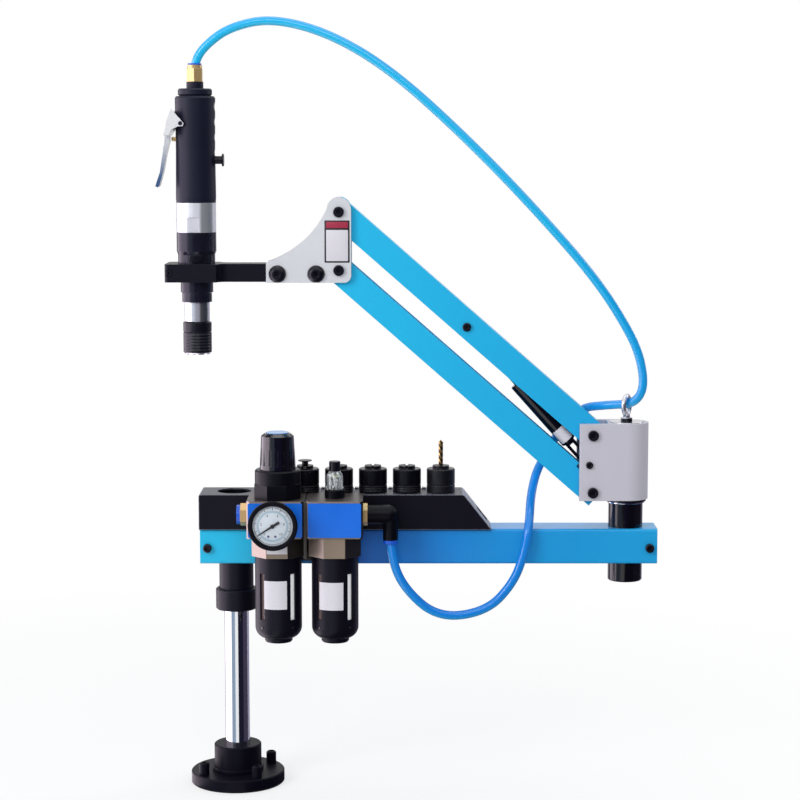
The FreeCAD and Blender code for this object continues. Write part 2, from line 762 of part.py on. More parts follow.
finish(
    "clamp_blocks",
    group(
        "ClampBlocks",
        clamp_block(
            "ColumnBlock",
            arm_left + block_inset,
            size(0),
            arm_bolt_left,
            arm_left + block_inset - 1,
        ),
        clamp_block(
            "PostBlock",
            arm_right - block_inset - block_long,
            reach,
            reach + arm_bolt_right,
            arm_right - block_inset + 1 - block_long / 2,
        ),
    ),
)
arm_bolts = [
    cap_screw(
        f"ArmBolt{i}",
        arm_bolt_head,
        arm_bolt,
        arm_bolt,
        arm_wide + 5,
        5,
        (x, -arm_wide / 2, arm_bolt_height),
        "Y",
    )
    for i, x in enumerate(bolt_spots)
]
arm_nuts = [
    prism(f"ArmNut{i}", 10, 5, (x, arm_wide / 2, arm_bolt_height), 6, "Y")
    for i, x in enumerate(bolt_spots)
]
finish(
    "arm_bolts",
    group("ArmBolts", *[fuse(f"ArmBoltSet{i}", arm_bolts[i], arm_nuts[i]) for i in (0, 1)]),
)

# ---------------------------------------------------------------- collet tray

tray_left = arm_left - tray_over
tray_top = arm_top + tray_tall
tray_right = tray_left + tray_flat
slope_run = tray_foot - tray_flat
slope_long = root(slope_run * slope_run + tray_tall * tray_tall)
lean = tray_sheet * slope_long / tray_tall
bend_back = tray_bend * (slope_long - slope_run) / tray_tall
tray_blank = padded(
    "TrayBlank",
    "XZ_Plane",
    [
        (tray_left + tray_foot, arm_top),
        (
            tray_right + bend_back * slope_run / slope_long,
            tray_top - bend_back * tray_tall / slope_long,
        ),
        (tray_right - bend_back, tray_top, tray_bend, 1),
        (tray_left + 2, tray_top),
        (tray_left, tray_top - 2, 2, 1),
        (tray_left, arm_top),
    ],
    tray_wide,
)
tray_hollow = padded(
    "TrayHollow",
    "XZ_Plane",
    [
        (tray_left + tray_foot - lean - slope_run * tray_sheet / tray_tall, arm_top + tray_sheet),
        (tray_right - lean + slope_run * tray_sheet / tray_tall, tray_top - tray_sheet),
        (tray_left + tray_sheet, tray_top - tray_sheet),
        (tray_left + tray_sheet, arm_top + tray_sheet),
    ],
    tray_wide - tray_sheet * 2,
)
foot_open = box(
    "TrayFootOpen",
    (tray_foot - 50, tray_wide - tray_lip * 2, tray_sheet + 2),
    (tray_left + 12, -(tray_wide - tray_lip * 2) / 2, arm_top - 1),
)
way = cylinder("ColumnWay", column_way, 8, (column_way_x, column_way_y, tray_top - 5))
tray_tools = [tray_hollow, foot_open, way]
for i in range(6):
    tray_tools.append(
        cylinder(
            f"ColletHole{i}",
            shank_dia + loose_gap * 4,
            tray_sheet + 2,
            (collet_first + collet_pitch * i, collet_row, tray_top - tray_sheet - 1),
        )
    )
slot_tool = box(
    "EndSlotTool",
    (end_slot_tall, end_slot_long, tray_sheet * 6),
    (end_slot_up, end_slot_y, -tray_sheet * 3),
)
tray_tools.append(
    turned_about(
        "EndSlot",
        [slot_tool],
        (0, 1, 0),
        180 + angle_of(tray_tall, slope_run),
        (tray_left + tray_foot, 0, arm_top),
    )
)
finish("collet_tray", cut("ColletTray", tray_blank, *tray_tools))

# ---------------------------------------------------------------- tapping collets


def collet_outline(head_tall, nose_dia, nose_tall):
    """Shank down, head above zero, nose on top."""
    return [
        (tap_bore / 2, 3 - shank_long),
        (tap_bore / 2, -shank_long),
        (shank_dia / 2 - 1, -shank_long),
        (shank_dia / 2, 1 - shank_long),
        (shank_dia / 2, 0),
        (collet_dia / 2 - 0.6, 0),
        (collet_dia / 2, 0.6),
        (collet_dia / 2, head_tall * 0.3),
        (collet_dia / 2 - collet_groove, head_tall * 0.3 + collet_groove),
        (collet_dia / 2, head_tall * 0.3 + collet_groove * 2),
        (collet_dia / 2, head_tall - 1),
        (collet_dia / 2 - 1, head_tall),
        (nose_dia / 2, head_tall),
        (nose_dia / 2, head_tall + nose_tall),
        (tap_bore / 2, head_tall + nose_tall),
    ]


def nose_slots(label, head_tall, nose_dia, nose_tall, count):
    """Tools that notch the nose all round."""
    wide = nose_dia * 0.16
    sides = (nose_dia + 2, wide, nose_tall * 2)
    corner = (-nose_dia / 2 - 1, -wide / 2, head_tall + nose_tall * 0.25)
    return [
        turned_about(
            f"{label}Notch{i}",
            [box(f"{label}NotchTool{i}", sides, corner)],
            (0, 0, 1),
            180 * i / count,
        )
        for i in range(count)
    ]


def collet(label, head_tall, nose_dia, nose_tall, count):
    blank = turned(label + "Blank", collet_outline(head_tall, nose_dia, nose_tall))
    return cut(label, blank, *nose_slots(label, head_tall, nose_dia, nose_tall, count))


seat = tray_top + loose_gap
for i in range(6):
    one = collet(f"TrayCollet{i}", collet_tall, collet_nose, collet_nose_tall, 2)
    if i == 5:
        tip = collet_tall + collet_nose_tall
        drill = turned(
            "Drill",
            [
                (0, 0),
                (tap_bore / 2, 0),
                (tap_bore / 2, tip - 1),
                (drill_dia / 2, tip),
                (drill_dia / 2, tip + drill_long - drill_dia / 2),
                (0, tip + drill_long),
            ],
        )
        one = fuse("DrillCollet", one, drill)
    put(one, (collet_first + collet_pitch * i, collet_row, seat))
    finish(f"tap_collet_{i + 1}", one)

# ---------------------------------------------------------------- pivot and turret

finish(
    "pivot_post",
    turned(
        "PivotPost",
        [
            (0, pivot_low),
            (pivot_dia / 2 - edge_break, pivot_low),
            (pivot_dia / 2, pivot_low + edge_break),
            (pivot_dia / 2, pivot_shoulder - 0.6),
            (pivot_dia / 2 - 0.6, pivot_shoulder),
            (journal_dia / 2, pivot_shoulder),
            (journal_dia / 2, journal_top - edge_break),
            (journal_dia / 2 - edge_break, journal_top),
            (0, journal_top),
        ],
        (reach, 0, 0),
    ),
)
turret_top = turret_low + turret_tall
cheek_gap = link_wide + side_gap * 2
turret_blank = padded(
    "TurretBlank",
    "XY_Plane",
    [
        (0, -turret_wide / 2),
        (0, turret_wide / 2, turret_wide / 2, 1),
        (-turret_front + 1, turret_wide / 2),
        (-turret_front, turret_wide / 2 - 1),
        (-turret_front, 1 - turret_wide / 2),
        (-turret_front + 1, -turret_wide / 2),
    ],
    turret_tall,
    (reach, 0, turret_low),
    None,
    False,
)
pivot_x = reach - pivot_back
lower_z = pivot_height - pivot_spread
spring_x = pivot_x - spring_back
spring_z = pivot_height - spring_drop
cross_holes = (
    ("UpperPin", pivot_x, pivot_height, pin_dia),
    ("LowerPin", pivot_x, lower_z, pin_dia),
    ("SpringPin", spring_x, spring_z, spring_pin),
)
turret_tools = [
    box(
        "TurretFork",
        (fork_deep + 1, cheek_gap, turret_tall + 2),
        (reach - turret_front - 1, -cheek_gap / 2, turret_low - 1),
    ),
    cylinder("TurretBore", bush_dia + run_gap * 2, turret_tall + 2, (reach, 0, turret_low - 1)),
    cylinder(
        "CapSeat",
        cap_dia + run_gap * 2,
        cap_thick,
        (reach, 0, turret_top + cap_proud - cap_thick),
    ),
]
for label, x, z, dia in cross_holes:
    turret_tools.append(
        cylinder(
            label + "Hole", dia + run_gap * 2, turret_wide + 2, (x, -turret_wide / 2 - 1, z), "Y"
        )
    )
finish("turret_housing", cut("TurretHousing", turret_blank, *turret_tools))
finish(
    "thrust_washer",
    turned(
        "ThrustWasher",
        [
            (journal_dia / 2 + loose_gap, 0),
            (washer_dia / 2, 0),
            (washer_dia / 2, washer_thick),
            (journal_dia / 2 + loose_gap, washer_thick),
        ],
        (reach, 0, turret_low - washer_thick),
    ),
)


def bush(label, z):
    ring = cylinder(label + "Ring", bush_dia, bush_long, (reach, 0, z))
    bore = cylinder(
        label + "Bore", journal_dia + run_gap * 2, bush_long + 2, (reach, 0, z - 1)
    )
    return cut(label, ring, bore)


finish(
    "turret_bushes",
    group(
        "TurretBushes",
        bush("LowerBush", turret_low + 1),
        bush("UpperBush", journal_top - bush_long - 1),
    ),
)
cap_low = turret_top + cap_proud - cap_thick
finish(
    "bearing_cap",
    turned(
        "BearingCap",
        [
            (eye_thread / 2 + run_gap, 0),
            (cap_dia / 2, 0),
            (cap_dia / 2, cap_thick - 0.5),
            (cap_dia / 2 - 0.5, cap_thick),
            (eye_thread / 2 + run_gap, cap_thick),
        ],
        (reach, 0, cap_low),
    ),
)
eye_base = turret_top + cap_proud
eye_low = eye_base + eye_collar_tall
ring = doc.addObject("Part::Torus", "EyeRing")
ring.setExpression("Radius1", (eye_mean / 2).text)
ring.setExpression("Radius2", (eye_bar / 2).text)
eye_height = eye_low + (eye_mean + eye_bar) / 2 + eye_neck
put(ring, (0, 0, eye_height), AXES["X"])
nut = prism("EyeNut", eye_collar * 0.94, eye_collar_tall, (0, 0, eye_base))
thread_long = cap_thick + 3 + eye_collar_tall + eye_neck + eye_bar / 2
thread = cylinder("EyeThread", eye_thread, thread_long, (0, 0, cap_low - 3))
eye = fuse("EyeBolt", ring, nut, thread)
finish("eye_bolt", turned_about("EyeTurned", [eye], (0, 0, 1), 360 - eye_turn, (reach, 0, 0)))


def cross_bolt(label, head, head_tall, shank, half_span, spot, socket):
    """A bolt through a fork with its nut behind."""
    x, z = spot
    screw = cap_screw(
        label + "Screw", head, head_tall, shank, half_span * 2 + 5, socket, (x, -half_span, z), "Y"
    )
    nut = prism(label + "Nut", head, 5, (x, half_span, z), 6, "Y")
    return fuse(label, screw, nut)


half_turret = turret_wide / 2
finish(
    "turret_bolts",
    group(
        "TurretBolts",
        cross_bolt(
            "UpperPin", pin_head, pin_head_tall, pin_dia, half_turret, (pivot_x, pivot_height), 6
        ),
        cross_bolt(
            "LowerPin", pin_head, pin_head_tall, pin_dia, half_turret, (pivot_x, lower_z), 6
        ),
        cross_bolt(
            "SpringPin", spring_pin_head, 3.5, spring_pin, half_turret, (spring_x, spring_z), 4
        ),
    ),
)

# ---------------------------------------------------------------- parallelogram arms


def channel(label, holes, hollow_low):
    """An arm channel drawn along X from its pivot, hollow from the given height up.

    The half turn that leans it over turns its top underneath.
    """
    half = link_tall / 2
    blank = padded(
        label + "Blank",
        "XZ_Plane",
        [
            (link_long + link_over, -half),
            (link_long + link_over, half),
            (-link_over, half),
            (-link_over, -half),
        ],
        link_wide,
    )
    inside = link_wide - link_wall * 2
    hollow = box(
        label + "Hollow",
        (link_long + link_over * 2 + 2, inside, link_tall),
        (-link_over - 1, -inside / 2, hollow_low),
    )
    drilled = [
        cylinder(f"{label}Hole{i}", dia, link_wide + 2, (x, -link_wide / 2 - 1, z), "Y")
        for i, (x, z, dia) in enumerate(holes)
    ]
    return cut(label, blank, hollow, *drilled)


def leaned(label, thing, x, z, angle):
    """Turns a piece drawn along +X to point up and to the left."""
    return turned_about(label, [thing], (0, 1, 0), 180 + angle, (x, 0, z))


pin_hole = pin_dia + loose_gap * 2
pin_ends = [(size(0), size(0), pin_hole), (link_long, size(0), pin_hole)]
rod_pin_hole = (rod_pin_along, rod_pin_drop, rod_pin_dia + run_gap * 2)
upper = channel("UpperArm", pin_ends + [rod_pin_hole], link_wall - link_tall / 2)
finish("upper_arm", leaned("UpperArmLeaned", upper, pivot_x, pivot_height, link_angle))
# the lower arm is open on top, where the gas spring lies down into it
lower = channel("LowerArm", pin_ends, -link_wall - link_tall / 2)
relief = box(
    "PinRelief",
    (relief_long, link_wide + 2, relief_deep + 1),
    (relief_along, -link_wide / 2 - 1, -link_tall / 2 - 1),
)
finish(
    "lower_arm",
    leaned("LowerArmLeaned", cut("LowerArmCut", lower, relief), pivot_x, lower_z, link_angle),
)
rod_bolt = cross_bolt(
    "RodBolt",
    rod_pin_head,
    4,
    rod_pin_dia,
    link_wide / 2,
    (rod_pin_along, rod_pin_drop),
    4,
)
finish("rod_bolt", leaned("RodBoltLeaned", rod_bolt, pivot_x, pivot_height, link_angle))

# ---------------------------------------------------------------- gas spring

# the rod pin, seen from the spring pin
pin_run = (
    rod_pin_along * cosine(link_angle) + rod_pin_drop * sine(link_angle) - spring_back
)
pin_rise = (
    rod_pin_along * sine(link_angle) - rod_pin_drop * cosine(link_angle) + spring_drop
)
spring_long = root(pin_run * pin_run + pin_rise * pin_rise)
spring_angle = angle_of(pin_rise, pin_run)
bore = spring_dia - spring_wall * 2
cylinder_body = turned(
    "SpringBody",
    [
        (0, spring_start),
        (spring_dia / 2 - 1, spring_start),
        (spring_dia / 2, spring_start + 1),
        (spring_dia / 2, spring_end - 1),
        (spring_dia / 2 - 1, spring_end),
        (rod_dia / 2 + run_gap, spring_end),
        (rod_dia / 2 + run_gap, spring_end - 8),
        (bore / 2, spring_end - 8),
        (bore / 2, spring_start + 5),
        (0, spring_start + 5),
    ],
    (0, 0, 0),
    "X",
)
eye_round = spring_eye / 2
foot = padded(
    "SpringFoot",
    "XZ_Plane",
    [
        (0, -eye_round, eye_round, 1),
        (spring_start + 1, -eye_round),
        (spring_start + 1, eye_round),
        (0, eye_round),
        (-eye_round, 0, eye_round, 1),
    ],
    spring_eye_wide,
)
foot_hole = cylinder(
    "SpringFootHole",
    spring_pin + loose_gap * 2,
    spring_eye_wide + 2,
    (0, -spring_eye_wide / 2 - 1, 0),
    "Y",
)
foot_window = box(
    "SpringFootWindow",
    (spring_start - spring_eye, spring_eye_wide + 2, spring_eye * 0.4),
    (spring_eye * 0.7, -spring_eye_wide / 2 - 1, -spring_eye * 0.2),
)
gas_cylinder = cut(
    "GasCylinder", fuse("GasCylinderBlank", cylinder_body, foot), foot_hole, foot_window
)
finish(
    "gas_cylinder",
    leaned("GasCylinderLeaned", gas_cylinder, spring_x, spring_z, spring_angle),
)
rod_from = spring_end - rod_inside
rod_eye = rod_pin_dia + rod_slack * 2 + 5
rod_body = turned(
    "SpringRod",
    [
        (0, rod_from),
        (bore / 2 - loose_gap, rod_from),
        (bore / 2 - loose_gap, rod_from + 6),
        (rod_dia / 2, rod_from + 6),
        (rod_dia / 2, spring_long - rod_eye / 2 + 1),
        (0, spring_long - rod_eye / 2 + 1),
    ],
    (0, 0, 0),
    "X",
)
rod_ring = cylinder(
    "RodRing", rod_eye, spring_eye_wide, (spring_long, -spring_eye_wide / 2, 0), "Y"
)
rod_hole = cylinder(
    "RodHole",
    rod_pin_dia + rod_slack * 2,
    spring_eye_wide + 2,
    (spring_long, -spring_eye_wide / 2 - 1, 0),
    "Y",
)
gas_rod = cut("GasRod", fuse("GasRodBlank", rod_body, rod_ring), rod_hole)
finish("gas_rod", leaned("GasRodLeaned", gas_rod, spring_x, spring_z, spring_angle))

# ---------------------------------------------------------------- head

head_x = pivot_x - link_long * cosine(link_angle)
head_low = lower_z + link_long * sine(link_angle)
head_high = head_low + pivot_spread
bar_low = head_low - bar_drop
motor_x = head_x - motor_out
plate_inner = link_wide / 2 + side_gap
plate_outer = plate_inner + plate_thick
lobe_end = 150


def head_plate(label, y):
    """A cheek of the head: a lobe over the upper pivot, swept down to a long nose."""
    left = -plate_left
    low = -plate_low
    high = pivot_spread + 2
    points = [
        (left, low),
        (plate_right - plate_corner, low),
        (plate_right, low + plate_corner, plate_corner, 1),
        (plate_right, high),
        (
            plate_right * cosine(size(lobe_end)),
            high + plate_right * sine(size(lobe_end)),
            plate_right,
            1,
        ),
        (-plate_right, high),
        (left + 6, low + plate_nose + 2, plate_sweep, -1),
        (left, low + plate_nose),
    ]
    plate = padded(label + "Blank", "XZ_Plane", points, plate_thick)
    drilled = [
        cylinder(f"{label}Hole{i}", dia, plate_thick + 2, (x, -plate_thick / 2 - 1, z), "Y")
        for i, (x, z, dia) in enumerate(
            (
                (size(0), size(0), pin_dia + run_gap * 2),
                (size(0), pivot_spread, pin_dia + run_gap * 2),
                (-holder_bolt_near, -holder_bolt_drop, holder_bolt + run_gap * 2),
                (-holder_bolt_far, -holder_bolt_drop, holder_bolt + run_gap * 2),
            )
        )
    ]
    return put(group(label, cut(label + "Drilled", plate, *drilled)), (head_x, y, head_low))


plate_middle = (plate_inner + plate_outer) / 2
finish(
    "head_plates",
    group("HeadPlates", head_plate("FrontPlate", -plate_middle), head_plate("BackPlate", plate_middle)),
)
holder_z = head_low - holder_bolt_drop


def domed_bolt(label, x):
    """A button head holder bolt with its nut."""
    head = turned(
        label + "Head",
        [
            (0, -holder_head_tall),
            (holder_head * 0.28, -holder_head_tall),
            (holder_head / 2, -1.2, holder_head * 0.42, 1),
            (holder_head / 2, 0),
            (holder_bolt / 2, 0),
            (holder_bolt / 2, plate_outer * 2 + 6),
            (0, plate_outer * 2 + 6),
        ],
    )
    key = prism(label + "Key", 6, 3.5, (0, 0, -holder_head_tall))
    screw = put(cut(label + "Screw", head, key), (x, -plate_outer, holder_z), AXES["Y"])
    nut = prism(label + "Nut", 17, 6, (x, plate_outer, holder_z), 6, "Y")
    return fuse(label, screw, nut)


clamp_half = clamp_wide / 2
screw_seat = clamp_half - 4.5
pivot_bolts = [
    cross_bolt(label, pin_head, pin_head_tall, pin_dia, plate_outer, (head_x, z), 6)
    for label, z in (("HeadUpper", head_high), ("HeadLower", head_low))
]
holder_bolts = [
    domed_bolt(label, head_x - x)
    for label, x in (("HolderNear", holder_bolt_near), ("HolderFar", holder_bolt_far))
]
pinch_screw = cap_screw(
    "ClampScrew",
    clamp_screw_head,
    4,
    clamp_screw,
    screw_seat * 2,
    4,
    (motor_x - clamp_screw_x, -screw_seat, bar_low + bar_tall / 2),
    "Y",
)
finish("head_bolts", group("HeadBolts", *pivot_bolts, *holder_bolts, pinch_screw))
bar_right = motor_out - bar_end
bar_blank = padded(
    "HolderBlank",
    "XY_Plane",
    [
        (clamp_right - 6, -clamp_half),
        (clamp_right + 6, -plate_inner, 12, -1),
        (bar_right, -plate_inner),
        (bar_right, plate_inner),
        (clamp_right + 6, plate_inner),
        (clamp_right - 6, clamp_half, 12, -1),
        (-clamp_left + 4, clamp_half),
        (-clamp_left, clamp_half - 4, 4, 1),
        (-clamp_left, 4 - clamp_half),
        (-clamp_left + 4, -clamp_half, 4, 1),
    ],
    bar_tall,
    (0, 0, 0),
    None,
    False,
)
bar_tools = [
    cylinder("ClampBore", neck_dia + run_gap * 2, bar_tall + 2, (0, 0, -1)),
    box(
        "ClampSlit",
        (clamp_left, clamp_slit, bar_tall + 2),
        (-clamp_left - 1, -clamp_slit / 2, -1),
    ),
    cylinder(
        "ClampHole",
        clamp_screw + run_gap * 2,
        clamp_wide + 2,
        (-clamp_screw_x, -clamp_half - 1, bar_tall / 2),
        "Y",
    ),
    cylinder(
        "ClampSink",
        clamp_screw_head + loose_gap * 2,
        clamp_half - screw_seat + 1,
        (-clamp_screw_x, -clamp_half - 1, bar_tall / 2),
        "Y",
    ),
]
for i, x in enumerate((holder_bolt_near, holder_bolt_far)):
    bar_tools.append(
        cylinder(
            f"HolderHole{i}",
            holder_bolt + run_gap * 2,
            clamp_wide,
            (motor_out - x, -clamp_half, bar_drop - holder_bolt_drop),
            "Y",
        )
    )
bar = put(group("HolderBar", cut("HolderDrilled", bar_blank, *bar_tools)), (motor_x, 0, bar_low))
finish("holder_bar", bar)

# ---------------------------------------------------------------- air motor


def on_motor(thing):
    return put(group(thing.Label + "Placed", thing), (motor_x, 0, bar_low))


spindle_top = gear_shoulder + 6
sleeve_head = nose_low + loose_gap
gearbox = turned(
    "Gearbox",
    [
        (spindle_dia / 2 + run_gap, chuck_lift + 2 - nose_low),
        (chuck_dia / 2 + loose_gap, chuck_lift + 2 - nose_low),
        (chuck_dia / 2 + loose_gap, -nose_low),
        (nose_tip_dia / 2, -nose_low),
        (nose_tip_dia / 2, -nose_step - 1),
        (nose_dia / 2, -nose_step),
        (nose_dia / 2, 0),
        (neck_dia / 2, 0),
        (neck_dia / 2, collar_up),
        (gear_step / 2, collar_up),
        (gear_step / 2, gear_shoulder),
        (gear_dia / 2, gear_shoulder + 4),
        (gear_dia / 2, gear_top),
        (0, gear_top),
        (0, spindle_top + 1),
        (spindle_dia / 2 + run_gap, spindle_top + 1),
    ],
)
finish("gearbox", on_motor(gearbox))
exhaust_blank = cylinder("ExhaustBlank", gear_dia, ring_top - gear_top, (0, 0, gear_top))
flats = [
    box(
        f"ExhaustFlat{i}",
        (14, ring_flat_depth + 1, ring_flat_tall),
        (-9, y, gear_top),
    )
    for i, y in enumerate((-gear_dia / 2 - 1, gear_dia / 2 - ring_flat_depth))
]
finish("exhaust_ring", on_motor(cut("ExhaustRing", exhaust_blank, *flats)))

grip_blank = turned(
    "GripBlank",
    [
        (0, ring_top),
        (grip_dia / 2 - 0.4, ring_top),
        (grip_dia / 2, ring_top + 6),
        (grip_dia / 2 - 0.6, (ring_top + grip_top) / 2),
        (grip_dia / 2, grip_top - 2.5),
        (grip_dia / 2 - 1.4, grip_top - 0.5),
        (head_ring_dia / 2 - 1.5, grip_top),
        (head_ring_dia / 2, grip_top + 1.5),
        (head_ring_dia / 2, head_ring_top - 1.5),
        (head_ring_dia / 2 - 1.5, head_ring_top),
        (neck_top_dia / 2, head_ring_top),
        (neck_top_dia / 2, neck_top),
        (0, neck_top),
    ],
)
waves = [
    cylinder(
        f"GripWave{i}",
        26,
        grip_dia + 4,
        (
            grip_dia / 2 + 13 - grip_wave,
            -grip_dia / 2 - 2,
            grip_top - 12 - grip_wave_pitch * i,
        ),
        "Y",
    )
    for i in range(4)
]
button_hole = cylinder(
    "ButtonHole", button_stem + loose_gap * 2, 12, (grip_dia / 2 - 10, 0, button_z), "X"
)
valve_hole = cylinder(
    "ValveHole", valve_dia + loose_gap * 2, 16, (-grip_dia / 2 + 12, 0, valve_z), "-X"
)
lever_wide = grip_dia + lever_over * 2
lever_pin_x = grip_dia / 2 - lever_pin_in
lever_pivot = cylinder(
    "LeverPivot",
    lever_pin,
    lever_wide + 2,
    (-lever_pin_x, -lever_wide / 2 - 1, lever_pin_z),
    "Y",
)
grip = fuse("GripPinned", cut("Grip", grip_blank, *waves, button_hole, valve_hole), lever_pivot)
finish("motor_grip", on_motor(grip))

fitting_low = neck_top
fitting_hex = prism("FittingHex", hex_flats, hex_tall, (0, 0, fitting_low), 6, "Z", 30)
fitting_ring = cylinder("FittingRing", ring_dia - 1, 3.7, (0, 0, fitting_low + hex_tall))
fitting_bore = cylinder(
    "FittingBore", tube_dia + loose_gap * 2, hex_tall + 6, (0, 0, fitting_low + 3)
)
finish(
    "inlet_fitting",
    on_motor(cut("InletFitting", fuse("FittingBlank", fitting_hex, fitting_ring), fitting_bore)),
)


def beside_grip(points):
    """Points given out from the grip's left side and up from the lever's pin."""
    return [(-grip_dia / 2 - out, lever_pin_z + up) for out, up in points]


lever_top = padded(
    "LeverTop",
    "XZ_Plane",
    beside_grip(
        [
            (2, 15.8),
            (-11.7, 0),
            (-10.6, -3.2),
            (-5, -3.4),
            (2.1, -7),
            (5.5, -13.5),
            (11.1, -13.5),
            (7.1, 3.6),
            (3.8, 13),
        ]
    ),
    lever_wide,
)
lever_gap = lever_wide - lever_thick * 2
lever_hollow = box(
    "LeverHollow",
    (grip_dia / 2 + 7.5, lever_gap, 40),
    (-grip_dia / 2 - 3.5, -lever_gap / 2, lever_pin_z - 20),
)
lever_hole = cylinder(
    "LeverHole",
    lever_pin + loose_gap * 2,
    lever_wide + 2,
    (-lever_pin_x, -lever_wide / 2 - 1, lever_pin_z),
    "Y",
)
cheeks = cut("LeverCheeks", lever_top, lever_hollow, lever_hole)
paddle = padded(
    "LeverPaddle",
    "XZ_Plane",
    beside_grip(
        [
            (4.5, -8),
            (5.9, -20),
            (9.5, -34),
            (12.7, -51.6),
            (17.7, -69.4),
            (19.7, -71),
            (22.3, -69.6),
            (17, -54),
            (13.8, -34),
            (11.7, -20),
            (10.5, -8),
        ]
    ),
    paddle_wide,
)
finish("trigger_lever", on_motor(fuse("TriggerLever", cheeks, paddle)))
valve_in = grip_dia / 2 - 9
valve_out = grip_dia / 2 + valve_proud
valve = turned(
    "ValveStem",
    [
        (0, valve_in),
        (valve_dia / 2, valve_in),
        (valve_dia / 2, valve_out - 0.8),
        (valve_dia / 2 - 0.8, valve_out),
        (0, valve_out),
    ],
    (0, 0, valve_z),
    "-X",
)
finish("valve_stem", on_motor(valve))
button_in = grip_dia / 2 - 6
button_near = grip_dia / 2 + button_proud
button = turned(
    "ReverseButton",
    [
        (0, button_in),
        (button_stem / 2, button_in),
        (button_stem / 2, button_near),
        (button_dia / 2 - 0.6, button_near),
        (button_dia / 2, button_near + 0.6),
        (button_dia / 2, button_near + button_thick - 0.6),
        (button_dia / 2 - 0.6, button_near + button_thick),
        (0, button_near + button_thick),
    ],
    (0, 0, button_z),
    "X",
)
finish("reverse_button", on_motor(button))

# Spindle, chuck sleeve and the collet in the chuck, drawn point down
core_top = nose_low - chuck_lift - 2 + loose_gap
spindle = turned(
    "Spindle",
    [
        (0, spindle_top),
        (0, -chuck_low + shank_long + 1.5),
        (shank_dia / 2 + run_gap, -chuck_low + shank_long + 1.5),
        (shank_dia / 2 + run_gap, -chuck_low),
        (chuck_core / 2, -chuck_low),
        (chuck_core / 2, -core_top - 0.6),
        (spindle_dia / 2, -core_top - 0.6),
        (spindle_dia / 2, spindle_top),
    ],
)
finish("spindle", on_motor(spindle))
sleeve = turned(
    "ChuckSleeve",
    [
        (chuck_core / 2 + loose_gap, -chuck_low + 0.2),
        (chuck_dia / 2 - 0.6, -chuck_low + 0.2),
        (chuck_dia / 2, -chuck_low + 0.8),
        (chuck_dia / 2, -sleeve_head),
        (chuck_core / 2 + loose_gap, -sleeve_head),
    ],
)
finish("chuck_sleeve", on_motor(sleeve))
chuck_collet = collet("ChuckCollet", chuck_collet_tall, collet_nose + 9, size(1.4), 4)
put(chuck_collet, (0, 0, -chuck_low - loose_gap), Rotation(Vector(1, 0, 0), 180))
finish("chuck_collet", on_motor(chuck_collet))

# ---------------------------------------------------------------- air unit

unit_front = unit_back - unit_deep
unit_y = unit_back - unit_axis
spacer_left = filter_left + filter_wide
oiler_left = spacer_left + spacer_thick
oiler_right = oiler_left + oiler_wide
bowl_dia = guard_dia - (guard_wall + bowl_gap) * 2


def module(label, left, wide, axis):
    """A cast module: a chamfered block over an octagonal skirt, bored for its bowl."""
    right = left + wide
    block = padded(
        label + "Block",
        "XY_Plane",
        [
            (left + corner_cut, unit_front),
            (right - corner_cut, unit_front),
            (right, unit_front + corner_cut),
            (right, unit_back),
            (left, unit_back),
            (left, unit_front + corner_cut),
        ],
        unit_top - unit_low,
        (0, 0, unit_low),
        None,
        False,
    )
    skirt = prism(
        label + "Skirt",
        skirt_across,
        unit_low - skirt_low + 1,
        (axis, unit_y, skirt_low),
        8,
        "Z",
        22.5,
    )
    socket = cylinder(
        label + "Socket",
        bowl_dia + loose_gap,
        unit_low - skirt_low + 6,
        (axis, unit_y, skirt_low - 1),
    )
    return fuse(label + "Blank", block, skirt), socket


def port(label, x, along):
    return cylinder(label, port_bore, 12, (x, unit_y, port_height), along)


blank, socket = module("Filter", filter_left, filter_wide, filter_axis)
gauge_port = cylinder("GaugePort", 10, 10, (gauge_x, unit_front + 9, gauge_z), "-Y")
filter_port = port("FilterPort", filter_left + 11, "-X")
finish("filter_body", cut("FilterBody", blank, socket, filter_port, gauge_port))
blank, socket = module("Oiler", oiler_left, oiler_wide, oiler_axis)
sight_well = cylinder("SightWell", 9, 14, (oiler_axis, unit_y, unit_top - 13))
oiler_port = port("OilerPort", oiler_right - 11, "X")
finish("oiler_body", cut("OilerBody", blank, socket, oiler_port, sight_well))

foot_low = bracket_low
foot_thick = -unit_back - arm_wide / 2
spacer = box(
    "Spacer",
    (spacer_thick, unit_deep - spacer_in, unit_top - spacer_in - skirt_low),
    (spacer_left, unit_front + spacer_in, skirt_low),
)
bracket_foot = box(
    "BracketFoot",
    (spacer_thick + bracket_side * 2, foot_thick, arm_top - 1 - foot_low),
    (spacer_left - bracket_side, unit_back, foot_low),
)
finish("unit_bracket", fuse("UnitBracket", spacer, bracket_foot))


def facing(label, left, right):
    plate = padded(
        label,
        "XZ_Plane",
        rounded(
            left + facing_rim,
            unit_low + facing_rim,
            right - facing_rim,
            unit_low + facing_rim + facing_tall,
            1.5,
        ),
        facing_thick,
        (0, unit_front - facing_thick / 2, 0),
    )
    return plate


gauge_way = cylinder("GaugeWay", 14.6, 4, (gauge_x, unit_front + 1, gauge_z), "-Y")
finish(
    "front_plates",
    group(
        "FrontPlates",
        cut("FilterFacing", facing("FilterPlate", filter_left, spacer_left), gauge_way),
        facing("OilerPlate", oiler_left, oiler_right),
    ),
)


